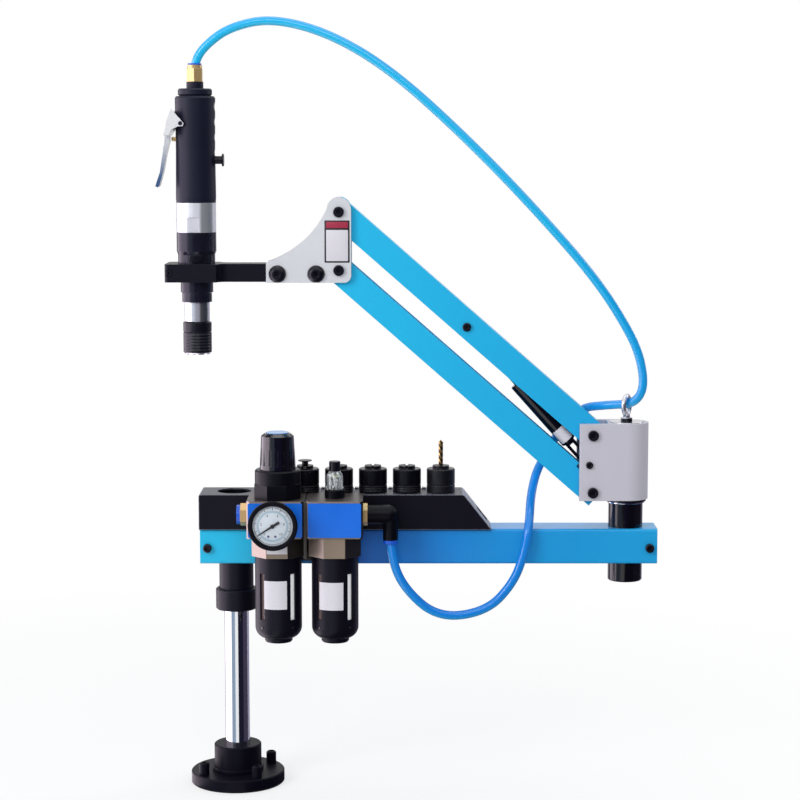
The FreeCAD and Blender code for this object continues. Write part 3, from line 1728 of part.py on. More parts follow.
def bowl_guard(label, axis):
    """A steel guard with four long windows and a rounded foot."""
    outer = guard_dia / 2
    inner = outer - guard_wall
    mouth = guard_mouth / 2
    shell = turned(
        label + "Shell",
        [
            (inner, skirt_low),
            (inner, guard_round),
            (mouth - 1, guard_low + 6.5, (outer - mouth) * 1.25, -1),
            (mouth - 3.5, guard_low + 6.5),
            (mouth - 3.5, guard_low),
            (mouth - 1, guard_low),
            (mouth, guard_low + 1.5),
            (mouth, guard_low + 4.5),
            (outer, guard_round, (outer - mouth) * 1.25, 1),
            (outer, skirt_low),
        ],
        (axis, unit_y, 0),
    )
    off = window_angle
    sides = (window_wide, guard_dia, window_tall)
    windows = [
        turned_about(
            f"{label}Window{i}",
            [box(f"{label}WindowTool{i}", sides, (-window_wide / 2, 0, window_low))],
            (0, 0, 1),
            angle,
            (axis, unit_y, 0),
        )
        for i, angle in enumerate((off, 180 - off, 180 + off, 360 - off))
    ]
    return cut(label, shell, *windows)


finish(
    "bowl_guards",
    group(
        "BowlGuards",
        bowl_guard("FilterGuard", filter_axis),
        bowl_guard("OilerGuard", oiler_axis),
    ),
)
drain_hole = drain_dia / 2 - 1 + loose_gap


def clear_bowl(label, axis, mouth):
    outer = bowl_dia / 2
    low = guard_round
    top = unit_low - 2
    return turned(
        label,
        [
            (mouth, low - 9),
            (outer - 9, low - 9),
            (outer, low, 9.5, 1),
            (outer, top),
            (outer - bowl_wall, top),
            (outer - bowl_wall, low + 1),
            (outer - bowl_wall - 7, low - 9 + bowl_wall),
            (mouth, low - 9 + bowl_wall),
        ],
        (axis, unit_y, 0),
    )


finish(
    "clear_bowls",
    group(
        "ClearBowls",
        clear_bowl("FilterBowl", filter_axis, drain_hole),
        clear_bowl("OilerBowl", oiler_axis, size(0)),
    ),
)
element = cylinder(
    "FilterElement",
    element_dia,
    element_tall,
    (filter_axis, unit_y, unit_low + 5 - element_tall),
)
dip_tube = cylinder(
    "DipTube", 5, unit_low + 5 - guard_round - 6, (oiler_axis, unit_y, guard_round + 6)
)
finish("bowl_inserts", group("BowlInserts", element, dip_tube))
drain = turned(
    "DrainKnob",
    [
        (0, guard_low - 2),
        (1.2, guard_low - 2),
        (drain_dia / 2, guard_low + 0.8),
        (drain_dia / 2, guard_low + 4),
        (drain_dia / 2 - 1, guard_low + 4.6),
        (drain_dia / 2 - 1, guard_round - 2),
        (0, guard_round - 2),
    ],
    (filter_axis, unit_y, 0),
)
finish("drain_knob", drain)

# Ports, elbow and release rings
inlet_nut = prism(
    "InletNut", port_nut, port_nut_out, (filter_left, unit_y, port_height), 6, "-X"
)
spigot = port_bore - run_gap * 2
inlet_spigot = cylinder("InletSpigot", spigot, 8, (filter_left + 8, unit_y, port_height), "-X")
inlet_bore = cylinder(
    "InletBore", tube_dia + loose_gap * 2, 30, (filter_left + 6, unit_y, port_height), "-X"
)
outlet_nut = prism("OutletNut", port_nut, outlet_nut_out, (oiler_right, unit_y, port_height), 6, "X")
outlet_spigot = cylinder("OutletSpigot", spigot, 8, (oiler_right - 8, unit_y, port_height), "X")
finish(
    "port_nuts",
    group(
        "PortNuts",
        cut("InletPort", fuse("InletBlank", inlet_nut, inlet_spigot), inlet_bore),
        fuse("OutletPort", outlet_nut, outlet_spigot),
    ),
)
elbow_from = oiler_right + outlet_nut_out
elbow_bend = elbow_reach + (elbow_leg - elbow_dia) / 2
elbow_body = cylinder(
    "ElbowBody", elbow_dia, elbow_bend - elbow_from, (elbow_from, unit_y, port_height), "X"
)
elbow_corner = doc.addObject("Part::Sphere", "ElbowCorner")
elbow_corner.setExpression("Radius", (elbow_dia / 2).text)
put(elbow_corner, (elbow_bend, unit_y, port_height))
elbow_down = cylinder(
    "ElbowDown",
    elbow_leg,
    port_height - elbow_low,
    (elbow_reach, unit_y, elbow_low),
)
elbow_bore = cylinder(
    "ElbowBore", tube_dia + loose_gap * 2, 20, (elbow_reach, unit_y, elbow_low - 1)
)
finish(
    "outlet_elbow",
    cut("OutletElbow", fuse("ElbowBlank", elbow_body, elbow_corner, elbow_down), elbow_bore),
)


ring_low = elbow_low - ring_out
elbow_ring = cut(
    "ElbowRing",
    cylinder("ElbowRingBlank", ring_dia - 1, ring_out, (elbow_reach, unit_y, ring_low)),
    cylinder(
        "ElbowRingBore",
        tube_dia + loose_gap * 2,
        ring_out + 2,
        (elbow_reach, unit_y, ring_low - 1),
    ),
)
inlet_ring = cut(
    "InletRing",
    cylinder(
        "InletRingBlank",
        inlet_ring_dia,
        ring_out,
        (filter_left - port_nut_out, unit_y, port_height),
        "-X",
    ),
    cylinder(
        "InletRingBore",
        tube_dia + loose_gap * 2,
        ring_out + 2,
        (filter_left - port_nut_out + 1, unit_y, port_height),
        "-X",
    ),
)
finish("release_rings", group("ReleaseRings", elbow_ring, inlet_ring))

# Gauge
case = turned(
    "GaugeCase",
    [
        (0, -6),
        (4.9, -6),
        (4.9, 0),
        (7, 0),
        (7, gauge_stem),
        (gauge_dia / 2 - 5, gauge_stem),
        (gauge_dia / 2 - 2.5, gauge_stem + 2.5),
        (gauge_dia / 2 - 2.5, gauge_stem + gauge_deep - 7),
        (gauge_dia / 2, gauge_stem + gauge_deep - 6),
        (gauge_dia / 2, gauge_stem + gauge_deep - 1.2),
        (gauge_dia / 2 - 1.2, gauge_stem + gauge_deep),
        (gauge_dia / 2 - gauge_rim, gauge_stem + gauge_deep),
        (gauge_dia / 2 - gauge_rim, gauge_stem + gauge_deep - gauge_recess),
        (2.2, gauge_stem + gauge_deep - gauge_recess),
        (2.2, gauge_stem + gauge_deep - gauge_recess - 2),
        (0, gauge_stem + gauge_deep - gauge_recess - 2),
    ],
    (gauge_x, unit_front, gauge_z),
    "-Y",
)
finish("gauge_case", case)
dial_y = unit_front - gauge_stem - gauge_deep + gauge_recess
dial_radius = gauge_dia / 2 - gauge_rim
needle_plate = padded(
    "NeedlePlate",
    "XZ_Plane",
    [
        (-dial_radius * 0.84, -0.3),
        (0, -1.2),
        (dial_radius * 0.38, -1.5),
        (dial_radius * 0.38, 1.5),
        (0, 1.2),
        (-dial_radius * 0.84, 0.3),
    ],
    0.8,
)
needle_hub = cylinder("NeedleHub", 4.6, 1.2, (0, 0.6, 0), "-Y")
needle_staff = cylinder("NeedleStaff", 3, 2.6, (0, 3, 0), "-Y")
needle = fuse("Needle", needle_plate, needle_hub, needle_staff)
needle_spot = (gauge_x, dial_y - 1.5, gauge_z)
finish(
    "gauge_needle",
    turned_about("NeedleTurned", [needle], (0, 1, 0), 360 - needle_drop, needle_spot),
)

# Regulator bonnet, pressure screw and knob
bonnet_blank = fuse(
    "BonnetBlank",
    prism(
        "BonnetBase",
        bonnet_base_dia * 0.97,
        bonnet_step - unit_top,
        (filter_axis, unit_y, unit_top),
        8,
        "Z",
        22.5,
    ),
    turned(
        "BonnetBarrel",
        [
            (0, bonnet_step - 1),
            (bonnet_dia / 2, bonnet_step - 1),
            (bonnet_dia / 2, bonnet_top - 1.5),
            (bonnet_dia / 2 - 1.5, bonnet_top),
            (0, bonnet_top),
        ],
        (filter_axis, unit_y, 0),
    ),
)
screw_low = bonnet_step + 2
screw_well = cylinder(
    "ScrewWell",
    screw_dia + loose_gap * 2,
    bonnet_top - screw_low + 2,
    (filter_axis, unit_y, screw_low - 1),
)
finish("regulator_bonnet", cut("RegulatorBonnet", bonnet_blank, screw_well))
finish(
    "pressure_screw",
    cylinder(
        "PressureScrew", screw_dia, knob_top - 10 - screw_low, (filter_axis, unit_y, screw_low)
    ),
)
knob_low = bonnet_top + loose_gap
knob_blank = turned(
    "KnobBlank",
    [
        (screw_dia / 2 + loose_gap, knob_low),
        (knob_dia / 2, knob_low),
        (knob_top_dia / 2, knob_top - 3.5),
        (knob_top_dia / 2 - 3.5, knob_top - 0.6),
        (13.2, knob_top - 0.6),
        (12.6, knob_top),
        (0, knob_top),
        (0, knob_top - 10 + loose_gap),
        (screw_dia / 2 + loose_gap, knob_top - 10 + loose_gap),
    ],
    (filter_axis, unit_y, 0),
)
rib_sides = (4, 3, knob_top - knob_low - 10)
rib_corner = (knob_dia / 2 - knob_rib, -1.5, knob_low + 5)
ribs = [
    turned_about(
        f"KnobRib{i}",
        [box(f"KnobRibTool{i}", rib_sides, rib_corner)],
        (0, 0, 1),
        360 / 16 * i,
        (filter_axis, unit_y, 0),
    )
    for i in range(16)
]
finish("regulator_knob", cut("RegulatorKnob", knob_blank, *ribs))

# Oiler sight dome
finish(
    "sight_base",
    turned(
        "SightBase",
        [
            (0, unit_top - 6),
            (4.2, unit_top - 6),
            (4.2, unit_top),
            (sight_base_dia / 2, unit_top),
            (sight_base_dia / 2, sight_base_top - 1),
            (sight_base_dia / 2 - 1, sight_base_top),
            (0, sight_base_top),
        ],
        (oiler_axis, unit_y, 0),
    ),
)
finish(
    "sight_dome",
    turned(
        "SightDome",
        [
            (sight_dia / 2 - 2, sight_base_top),
            (sight_dia / 2 + 1.2, sight_base_top),
            (sight_dia / 2 + 1.2, sight_base_top + 2),
            (sight_dia / 2, sight_base_top + 3),
            (sight_dia / 2, sight_top - 5),
            (sight_dia / 2 - 3, sight_top),
            (2.8, sight_top),
            (2.8, sight_top - 3),
            (sight_dia / 2 - 4.5, sight_top - 3),
            (sight_dia / 2 - 2, sight_top - 6),
        ],
        (oiler_axis, unit_y, 0),
    ),
)
oil_low = sight_top + loose_gap
finish(
    "oil_knob",
    turned(
        "OilKnob",
        [
            (0, oil_low - 6),
            (2.4, oil_low - 6),
            (2.4, oil_low),
            (oil_knob_dia / 2, oil_low),
            (oil_knob_dia / 2, oil_low + oil_knob_tall - 0.8),
            (oil_knob_dia / 2 - 0.8, oil_low + oil_knob_tall),
            (0, oil_low + oil_knob_tall),
        ],
        (oiler_axis, unit_y, 0),
    ),
)

# ---------------------------------------------------------------- air hose

# The hose leaves the elbow downward, sags in front of the horizontal arm, climbs over it
# and behind the arm channels, runs through the eye bolt and hangs in a wide bow to the motor.
hose_route = [
    (176.5, -58, 300),
    (176.5, -58, 276),
    (198, -55.5, 247),
    (236, -50.5, 207),
    (287, -44, 212),
    (315, -38, 240),
    (327, -33.5, 272),
    (332.5, -31, 303),
    (336, 4, 343),
    (348, 31, 371),
    (388, 32, 428),
    (426, 7.5, 434),
    (451, -2.7, 438.5),
    (463, -7, 456),
    (459.5, -1, 489),
    (446, 0, 521),
    (408, 0, 580),
    (340, 0, 657),
    (264, 0, 735),
    (180, 0, 811),
    (110, 0, 853),
    (45, 0, 870),
    (-2, 0, 860),
    (-29.5, 0, 840),
    (-41.5, 0, 822),
    (-41.5, 0, 811),
]


def hose_path(route):
    """Straight runs joined by arcs that each take up 0.45 of the shorter run."""
    corners = [Vector(*point) for point in route]
    edges = []
    radii = []
    start = corners[0]
    for before, corner, after in zip(corners, corners[1:], corners[2:]):
        back = before - corner
        ahead = after - corner
        reach_along = 0.45 * min(back.Length, ahead.Length)
        back.normalize()
        ahead.normalize()
        half_turn = (math.pi - back.getAngle(ahead)) / 2
        radius = reach_along / math.tan(half_turn)
        inward = (back + ahead).normalize()
        middle = corner + inward * (radius / math.cos(half_turn) - radius)
        first = corner + back * reach_along
        last = corner + ahead * reach_along
        edges.append(Part.LineSegment(start, first).toShape())
        edges.append(Part.Arc(first, middle, last).toShape())
        radii.append(radius)
        start = last
    edges.append(Part.LineSegment(start, corners[-1]).toShape())
    return Part.Wire(edges), radii


doc.recompute()
path, bend_radii = hose_path(hose_route)
hose_radius = sheet.get("tube_dia") / 2
out_of_elbow = Vector(*hose_route[1]) - Vector(*hose_route[0])
section = Part.Wire([Part.makeCircle(hose_radius, Vector(*hose_route[0]), out_of_elbow)])
hose = doc.addObject("Part::Feature", "AirHose")
hose.Shape = path.makePipeShell([section], True, False)
hose.Placement = Placement()
finish("air_hose", hose)
print("hose length", round(path.Length, 1))
print("hose bend radii", [round(radius) for radius in bend_radii])
print("hose volume ratio", hose.Shape.Volume / (math.pi * hose_radius**2 * path.Length))

# ---------------------------------------------------------------- build and write

doc.recompute()
faults = []
for thing in doc.Objects:
    if "Invalid" in thing.State or "Error" in thing.State:
        faults.append(f"{thing.Name}: {thing.State}")
for name, thing in finished:
    if thing.Shape.isNull() or not thing.Shape.isValid():
        faults.append(f"{name}: bad shape")
if faults:
    raise RuntimeError("; ".join(faults))
os.makedirs("parts", exist_ok=True)
for name, thing in finished:
    thing.Shape.exportStep(f"parts/{name}.step")
print(len(finished), "pieces")
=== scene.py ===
"""Arm tapping machine: finishes, air hose, dial, labels, small fittings and a studio round the frame."""

import math

import bmesh
import bpy
from bpy.props import FloatProperty, FloatVectorProperty, IntProperty, PointerProperty
from mathutils import Matrix, Vector


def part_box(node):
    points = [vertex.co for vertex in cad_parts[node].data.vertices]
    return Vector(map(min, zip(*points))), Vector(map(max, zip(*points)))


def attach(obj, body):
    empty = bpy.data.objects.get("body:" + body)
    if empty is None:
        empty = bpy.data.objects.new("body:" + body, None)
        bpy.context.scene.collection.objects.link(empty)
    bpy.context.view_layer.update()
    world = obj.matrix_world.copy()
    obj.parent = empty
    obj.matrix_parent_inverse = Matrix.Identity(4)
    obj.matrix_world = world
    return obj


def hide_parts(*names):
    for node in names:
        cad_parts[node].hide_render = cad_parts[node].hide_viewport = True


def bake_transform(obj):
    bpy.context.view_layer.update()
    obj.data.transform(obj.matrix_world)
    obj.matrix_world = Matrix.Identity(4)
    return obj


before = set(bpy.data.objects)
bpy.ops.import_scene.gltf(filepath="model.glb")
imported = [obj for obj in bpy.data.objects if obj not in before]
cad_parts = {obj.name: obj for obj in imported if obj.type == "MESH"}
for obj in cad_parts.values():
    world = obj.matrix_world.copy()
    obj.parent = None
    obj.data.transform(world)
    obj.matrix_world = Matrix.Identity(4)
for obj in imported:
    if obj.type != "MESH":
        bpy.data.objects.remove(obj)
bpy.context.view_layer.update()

bl_info = {
    "name": "Arm tapping machine",
    "version": (1, 0, 0),
    "blender": (4, 5, 0),
    "location": "3D View > Sidebar > Tapping machine",
    "description": "Dresses the frame of an arm tapping machine and sets its studio",
    "category": "Object",
}

MM = 0.001
FACING = (math.radians(90), 0, 0)  # the turn that stands a flat piece up to face the front


def shade(red, green, blue):
    """A colour as a screen shows it, 0 to 255, turned into the light values that Blender works in."""
    def linear(value):
        value /= 255
        return value / 12.92 if value <= 0.04045 else ((value + 0.055) / 1.055) ** 2.4

    return linear(red), linear(green), linear(blue)


def middle(node):
    """The middle of a frame node's box."""
    low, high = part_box(node)
    return (low + high) / 2


# ---------------------------------------------------------------- sizes and colours


def length(label, about, default):
    return FloatProperty(name=label, description=about, default=default, unit="LENGTH", precision=4)


def colour(label, about, default):
    return FloatVectorProperty(
        name=label, description=about, default=default, subtype="COLOR", size=3, min=0, max=1
    )


class TappingSizes(bpy.types.PropertyGroup):
    hose_across: length("Hose diameter", "Outside diameter of the air hose", 10 * MM)
    hose_length: length("Hose length", "From the air unit to the motor", 1.24)
    dial_radius: length("Dial radius", "Printed face of the pressure gauge", 22.6 * MM)
    dial_steps: IntProperty(name="Dial steps", description="Every second one is numbered", default=10)
    label_thick: length("Label thickness", "Thickness of the paper labels", 0.15 * MM)
    cap_radius: length("Cap radius", "Coloured cap on the regulator knob", 12.75 * MM)
    screw_head: length("Tray screw head", "Across the head of a tray screw", 5.6 * MM)
    flange_thick: length("Flange thickness", "Top of the base's flange above the floor", 14 * MM)


class TappingColours(bpy.types.PropertyGroup):
    # the two arm colours paint light and shade on the arms: the light one where they are lit, the deep
    # one as painted shade
    arm: colour("Light arm paint", "Paint at the head and at the column", shade(36, 204, 250))
    arm_deep: colour("Deep arm paint", "Paint in the middle of the arm", shade(10, 104, 212))
    turret: colour("Turret paint", "Light grey paint on the turret", shade(208, 205, 216))
    head: colour("Head paint", "Pale grey paint on the head plates", shade(224, 225, 230))
    black: colour("Black paint", "Satin black on the base, tray and bar", shade(14, 12, 27))
    unit: colour("Air unit", "Bare metal of the filter and oiler bodies", shade(158, 140, 122))
    plates: colour("Front plates", "Blue plates on the air unit", shade(20, 116, 238))
    # the two hose colours paint light and shade by height: the upper one as painted light, the lower one
    # as painted shade
    hose: colour("Upper hose", "Blue air hose, high up in the light", shade(0, 194, 250))
    hose_low: colour("Lower hose", "Blue air hose, low down", shade(0, 135, 236))


def chosen(base):
    """A colour as it is, or the panel's colour of that name."""
    return tuple(getattr(bpy.context.scene.tapping_colours, base)) if isinstance(base, str) else base


def brighter(value, times):
    return tuple(min(1.0, part * times) for part in value)


# ---------------------------------------------------------------- materials


class Link:
    """One socket of a material's nodes, which can be used in sums."""

    def __init__(self, finish, socket):
        self.finish = finish
        self.socket = socket

    def __add__(self, other):
        return self.finish.math("ADD", self, other)

    def __sub__(self, other):
        return self.finish.math("SUBTRACT", self, other)

    def __mul__(self, other):
        return self.finish.math("MULTIPLY", self, other)

    def __truediv__(self, other):
        return self.finish.math("DIVIDE", self, other)

    def __gt__(self, other):
        return self.finish.math("GREATER_THAN", self, other)

    def __lt__(self, other):
        return self.finish.math("LESS_THAN", self, other)

    def __rsub__(self, other):
        return self.finish.math("SUBTRACT", other, self)

    __radd__ = __add__
    __rmul__ = __mul__

    def clamped(self):
        return self.finish.math("MULTIPLY", self, 1, clamp=True)

    def wave(self):
        return self.finish.math("SINE", self)


def uneven(value, *parts):
    """A number that clouds push up and down, each cloud by its own amount."""
    for clouds, amount in parts:
        value = value + (clouds - 0.5) * amount
    return value


class Finish:
    """A material, or the world, being made from nodes."""

    def __init__(self, name, shelf="materials"):
        self.material = getattr(bpy.data, shelf).new(name)
        self.material.use_nodes = True
        self.tree = self.material.node_tree
        self.tree.nodes.clear()

    def node(self, kind, settings=None, inputs=None, out=0):
        """Adds a node, sets it up, feeds its sockets, and gives back the link of its output."""
        made = self.tree.nodes.new(kind)
        for name, value in (settings or {}).items():
            if name == "stops":
                ramp = made.color_ramp.elements
                ramp[0].position, ramp[0].color = value[0]
                ramp[1].position, ramp[1].color = value[-1]
                for place, shown in value[1:-1]:
                    ramp.new(place).color = shown
            else:
                setattr(made, name, value)
        for name, value in (inputs or {}).items():
            if isinstance(value, Link):
                self.tree.links.new(value.socket, made.inputs[name])
            else:
                made.inputs[name].default_value = value
        return Link(self, made.outputs[out]) if len(made.outputs) else None

    def math(self, operation, *values, clamp=False):
        settings = {"operation": operation, "use_clamp": clamp}
        return self.node("ShaderNodeMath", settings, dict(enumerate(values)))

    def place(self, scale=(1, 1, 1), centre=(0, 0, 0), turn=(0, 0, 0)):
        """Object coordinates, moved, turned and stretched by the given amounts."""
        at = self.node("ShaderNodeTexCoord", out="Object")
        inputs = {"Vector": at, "Location": centre, "Rotation": turn}
        moved = self.node("ShaderNodeMapping", {"vector_type": "TEXTURE"}, inputs)
        return self.node("ShaderNodeMapping", None, {"Vector": moved, "Scale": scale})

    def noise(self, at, scale, detail=2, rough=0.5):
        """Cloudy values around one half."""
        inputs = {"Vector": at, "Scale": scale, "Detail": detail, "Roughness": rough}
        return self.node("ShaderNodeTexNoise", None, inputs)

    def axes(self, at):
        """The three numbers of a vector."""
        parts = self.node("ShaderNodeSeparateXYZ", None, {"Vector": at})
        return [Link(self, socket) for socket in parts.socket.node.outputs]

    def faces_to(self):
        """How far the surface faces the turret's side, the back and up."""
        return self.axes(self.node("ShaderNodeTexCoord", out="Normal"))

    def mixed(self, share, first, second):
        """A colour between two others."""
        first, second = (
            (*value, 1) if isinstance(value, tuple) and len(value) == 3 else value
            for value in (first, second)
        )
        inputs = {0: share, 6: first, 7: second}
        return self.node("ShaderNodeMix", {"data_type": "RGBA"}, inputs, out=2)

    def cloudy(self, clouds, base, least, most):
        """A colour that clouds make a little darker and lighter."""
        return self.mixed(clouds, brighter(base, least), brighter(base, most))

    def soft_edge(self, radius):
        """Normals that round off the corners, and how near a corner each spot is."""
        normal = self.node("ShaderNodeBevel", {"samples": 4}, {"Radius": radius}, out="Normal")
        flat = self.node("ShaderNodeNewGeometry", out="Normal")
        inputs = {0: normal, 1: flat}
        same = self.node("ShaderNodeVectorMath", {"operation": "DOT_PRODUCT"}, inputs, out="Value")
        return normal, ((1 - same) * 4).clamped()

    def bump(self, height, distance, strength, normal=None):
        inputs = {"Height": height, "Distance": distance, "Strength": strength}
        if normal is not None:
            inputs["Normal"] = normal
        return self.node("ShaderNodeBump", None, inputs)

    def body(self, **sockets):
        """The standard surface, its sockets named with underscores."""
        inputs = {}
        for name, value in sockets.items():
            title = name.replace("_", " ").title().replace("Ior", "IOR")
            inputs[title] = (*value, 1) if title == "Base Color" and isinstance(value, tuple) else value
        return self.node("ShaderNodeBsdfPrincipled", None, inputs)

    def close(self, shader):
        self.node("ShaderNodeOutputMaterial", None, {"Surface": shader})
        return self.material

    def surface(self, **sockets):
        """Ends the material with the standard surface."""
        return self.close(self.body(**sockets))

    def half_clear(self, share, tint, **sockets):
        """Ends the material with a tinted clear part and a share of the standard surface."""
        through = self.node("ShaderNodeBsdfTransparent", None, {"Color": (*tint, 1)})
        inputs = {0: share, 1: through, 2: self.body(**sockets)}
        return self.close(self.node("ShaderNodeMixShader", None, inputs))


def started(name, corner, scale=(1, 1, 1)):
    """A finish with its coordinates, and the normals and nearness of corners of that radius."""
    f = Finish(name)
    return f, f.place(scale), *f.soft_edge(corner)


def painted(name, base, rough, peel, light=1.0, coat=0.0, edge=1.25, shine=0.5):
    """Powder paint: orange peel, faint clouds, and corners lightened by a painted highlight with a
    little rubbed wear.
    """
    f, at, normal, near = started(name, 0.6 * MM)
    base = brighter(chosen(base), light)
    clouds = f.noise(at, 9, 3)
    specks = f.noise(at, 900)
    return f.surface(
        # the corners are lightened by edge: painted highlight, with a little rubbed wear
        base_color=f.mixed(near * 0.5, f.cloudy(clouds, base, 0.93, 1.06), brighter(base, edge)),
        roughness=uneven(rough, (clouds, 0.08), (specks, 0.05)),
        normal=f.bump(f.noise(at, peel), 0.02 * MM, 0.6, normal),
        specular_ior_level=shine,
        coat_weight=coat,
        coat_roughness=0.08,
    )


def plated(name, base, rough, lines=(1, 1, 1), depth=0.004 * MM, metal=1.0, dusk=0.0):
    """Metal with the fine marks of its making drawn out along one way, and a painted highlight on its
    corners.

    The last argument paints a dark reflection on the side of an upright sleeve that faces the turret.
    """
    f, at, normal, near = started(name, 0.4 * MM, lines)
    marks = f.noise(at, 160, 4, 0.6)
    smears = f.noise(f.place(), 22, 3)
    tone = f.cloudy(marks, base, 0.92, 1.05)
    # painted reflection: a dark band on the sleeve's side toward the turret
    if dusk:
        side = f.faces_to()[0]
        band = ((side - 0.22) * 7).clamped() * (1 - ((side - 0.82) * 9).clamped())
        tone = f.mixed(band * (marks * 0.6 + 0.6).clamped() * dusk, tone, shade(46, 52, 64))
    return f.surface(
        # painted highlight on the corners
        base_color=f.mixed(near * 0.6, tone, brighter(base, 1.1)),
        metallic=metal,
        roughness=uneven(rough, (marks, 0.08), (smears, 0.06)).clamped(),
        normal=f.bump(marks, depth, 0.5, normal),
    )


def moulded(name, base, rough, grain=1400, depth=0.015 * MM, coat=0.0, shine=0.5):
    """Moulded plastic with a fine spark-eroded grain."""
    f, at, normal, near = started(name, 0.35 * MM)
    base = chosen(base)
    fine = f.noise(at, grain, 3, 0.6)
    clouds = f.noise(at, 30)
    return f.surface(
        # painted highlight: the corners are lightened
        base_color=f.mixed(near * 0.5, f.cloudy(clouds, base, 0.9, 1.1), brighter(base, 1.5)),
        roughness=uneven(rough, (fine, 0.12), (clouds, 0.08)),
        normal=f.bump(fine, depth, 0.5, normal),
        specular_ior_level=shine,
        coat_weight=coat,
        coat_roughness=0.1,
    )


def arm_paint(name):
    """Blue gloss paint in painted shade that deepens from the head and the column toward the turret,
    most on the tube beside the air unit, with a painted highlight on its corners.
    """
    f, at, normal, near = started(name, 0.8 * MM)
    light, deep = chosen("arm"), chosen("arm_deep")
    x, _, z = f.axes(at)
    # painted shade along the arms: the share of the deep colour by place, most on the tube beside the
    # air unit
    left_end, whole, tube_top = 0.04, 0.52, 0.3
    along = ((x + left_end) / whole).clamped()
    shares = ((0.0, 0.0), (0.12, 0.05), (0.3, 1.0), (0.48, 0.8), (0.7, 0.55), (1.0, 0.4))
    stops = tuple((place, (share, share, share, 1)) for place, share in shares)
    painted_shade_on_tube = f.node("ShaderNodeValToRGB", {"stops": stops}, {0: along})
    inputs = {0: (z < tube_top).clamped(), 2: along * 0.42 - 0.05, 3: painted_shade_on_tube}
    share = f.node("ShaderNodeMix", {"data_type": "FLOAT"}, inputs)
    clouds = f.noise(at, 9, 3)
    specks = f.noise(at, 900)
    tone = f.mixed(uneven(share, (clouds, 0.12)).clamped(), light, deep)
    return f.surface(
        # painted highlight on the corners
        base_color=f.mixed(near * 0.4, tone, brighter(light, 1.2)),
        roughness=uneven(0.3, (clouds, 0.08), (specks, 0.05)),
        specular_ior_level=0.35,
        normal=f.bump(f.noise(at, 420), 0.02 * MM, 0.5, normal),
        coat_weight=0.15,
        coat_roughness=0.08,
    )


def tray_paint(name):
    """The tray's satin black, pale where its folds and top face catch the light."""
    f, at, normal, near = started(name, 1.5 * MM)
    up = f.faces_to()[2]
    clouds = f.noise(at, 14, 3)
    grain = f.noise(at, 1100)
    lit = (up * 1.4 - 0.5).clamped()
    fold = (up > 0.1) * (up < 0.96)
    tone = f.mixed(lit * (clouds * 0.4 + 0.5), chosen("black"), shade(112, 112, 124))
    tone = f.mixed(fold, tone, shade(168, 170, 182))
    return f.surface(
        base_color=f.mixed(near, tone, shade(176, 178, 190)),
        roughness=uneven(0.42, (clouds, 0.1), (grain, 0.06)),
        specular_ior_level=0.2,
        normal=f.bump(grain, 0.02 * MM, 0.6, normal),
    )


def lever_steel(name):
    """Bright pressing in painted reflection: near white above, bluer, darker and streaked low down its
    blade.
    """
    f, at, normal, near = started(name, 0.5 * MM)
    blade_top, fade = 0.742, 0.05
    streaks = f.noise(f.place(scale=(1, 0.1, 0.05), turn=(0, math.radians(12), 0)), 420, 3)
    low = ((blade_top - f.axes(at)[2]) / fade).clamped()
    # painted reflection: dark blue streaks low on the blade, near white above
    blade = f.mixed(streaks, shade(10, 22, 56), shade(98, 134, 186))
    tone = f.mixed(uneven(low, (streaks, 0.3)).clamped(), shade(250, 250, 252), blade)
    return f.surface(
        # painted highlight on the corners
        base_color=f.mixed(near * 0.3, tone, shade(176, 184, 196)),
        metallic=0.15,
        roughness=0.16 + streaks * 0.1,
        normal=f.bump(streaks, 0.02 * MM, 0.4, normal),
    )


def blackened(name, below=None, above=None, rings=None, rough=0.31,
              tones=(shade(13, 11, 20), shade(25, 23, 36))):
    """Blackened steel: dark, oily, a little uneven, with a painted highlight on its corners.

    below and above give a height below or above which the steel is bare.
    rings gives the lower height, the upper height and the pitch of fine turned rings, with a painted
    glint on each crest.
    """
    f, at, normal, near = started(name, 0.4 * MM)
    height = f.axes(at)[2]
    blotches = f.noise(at, 60, 4)
    grain = f.noise(at, 1500)
    tone = f.mixed(blotches, *tones)
    # painted highlight on the corners
    tone = f.mixed(near * 0.7, tone, shade(84, 82, 98))
    metallic = 0.3
    relief = f.bump(grain, 0.01 * MM, 0.6, normal)
    if rings:
        low, high, pitch = rings
        inside = (height > low) * (height < high)
        groove = (height * (2 * math.pi / pitch)).wave() * inside
        relief = f.bump(groove, 0.3 * MM, 0.7, relief)
        # painted glint on the crest of each ring
        tone = f.mixed((groove - 0.6).clamped(), tone, shade(72, 72, 86))
    if below or above:
        bare = height < below if below else height > above
        tone = f.mixed(bare, tone, shade(214, 214, 220))
        metallic = metallic + bare * 0.6
    return f.surface(
        base_color=tone,
        metallic=metallic,
        roughness=uneven(rough, (blotches, 0.16), (grain, 0.08)),
        specular_ior_level=0.45,
        normal=relief,
    )


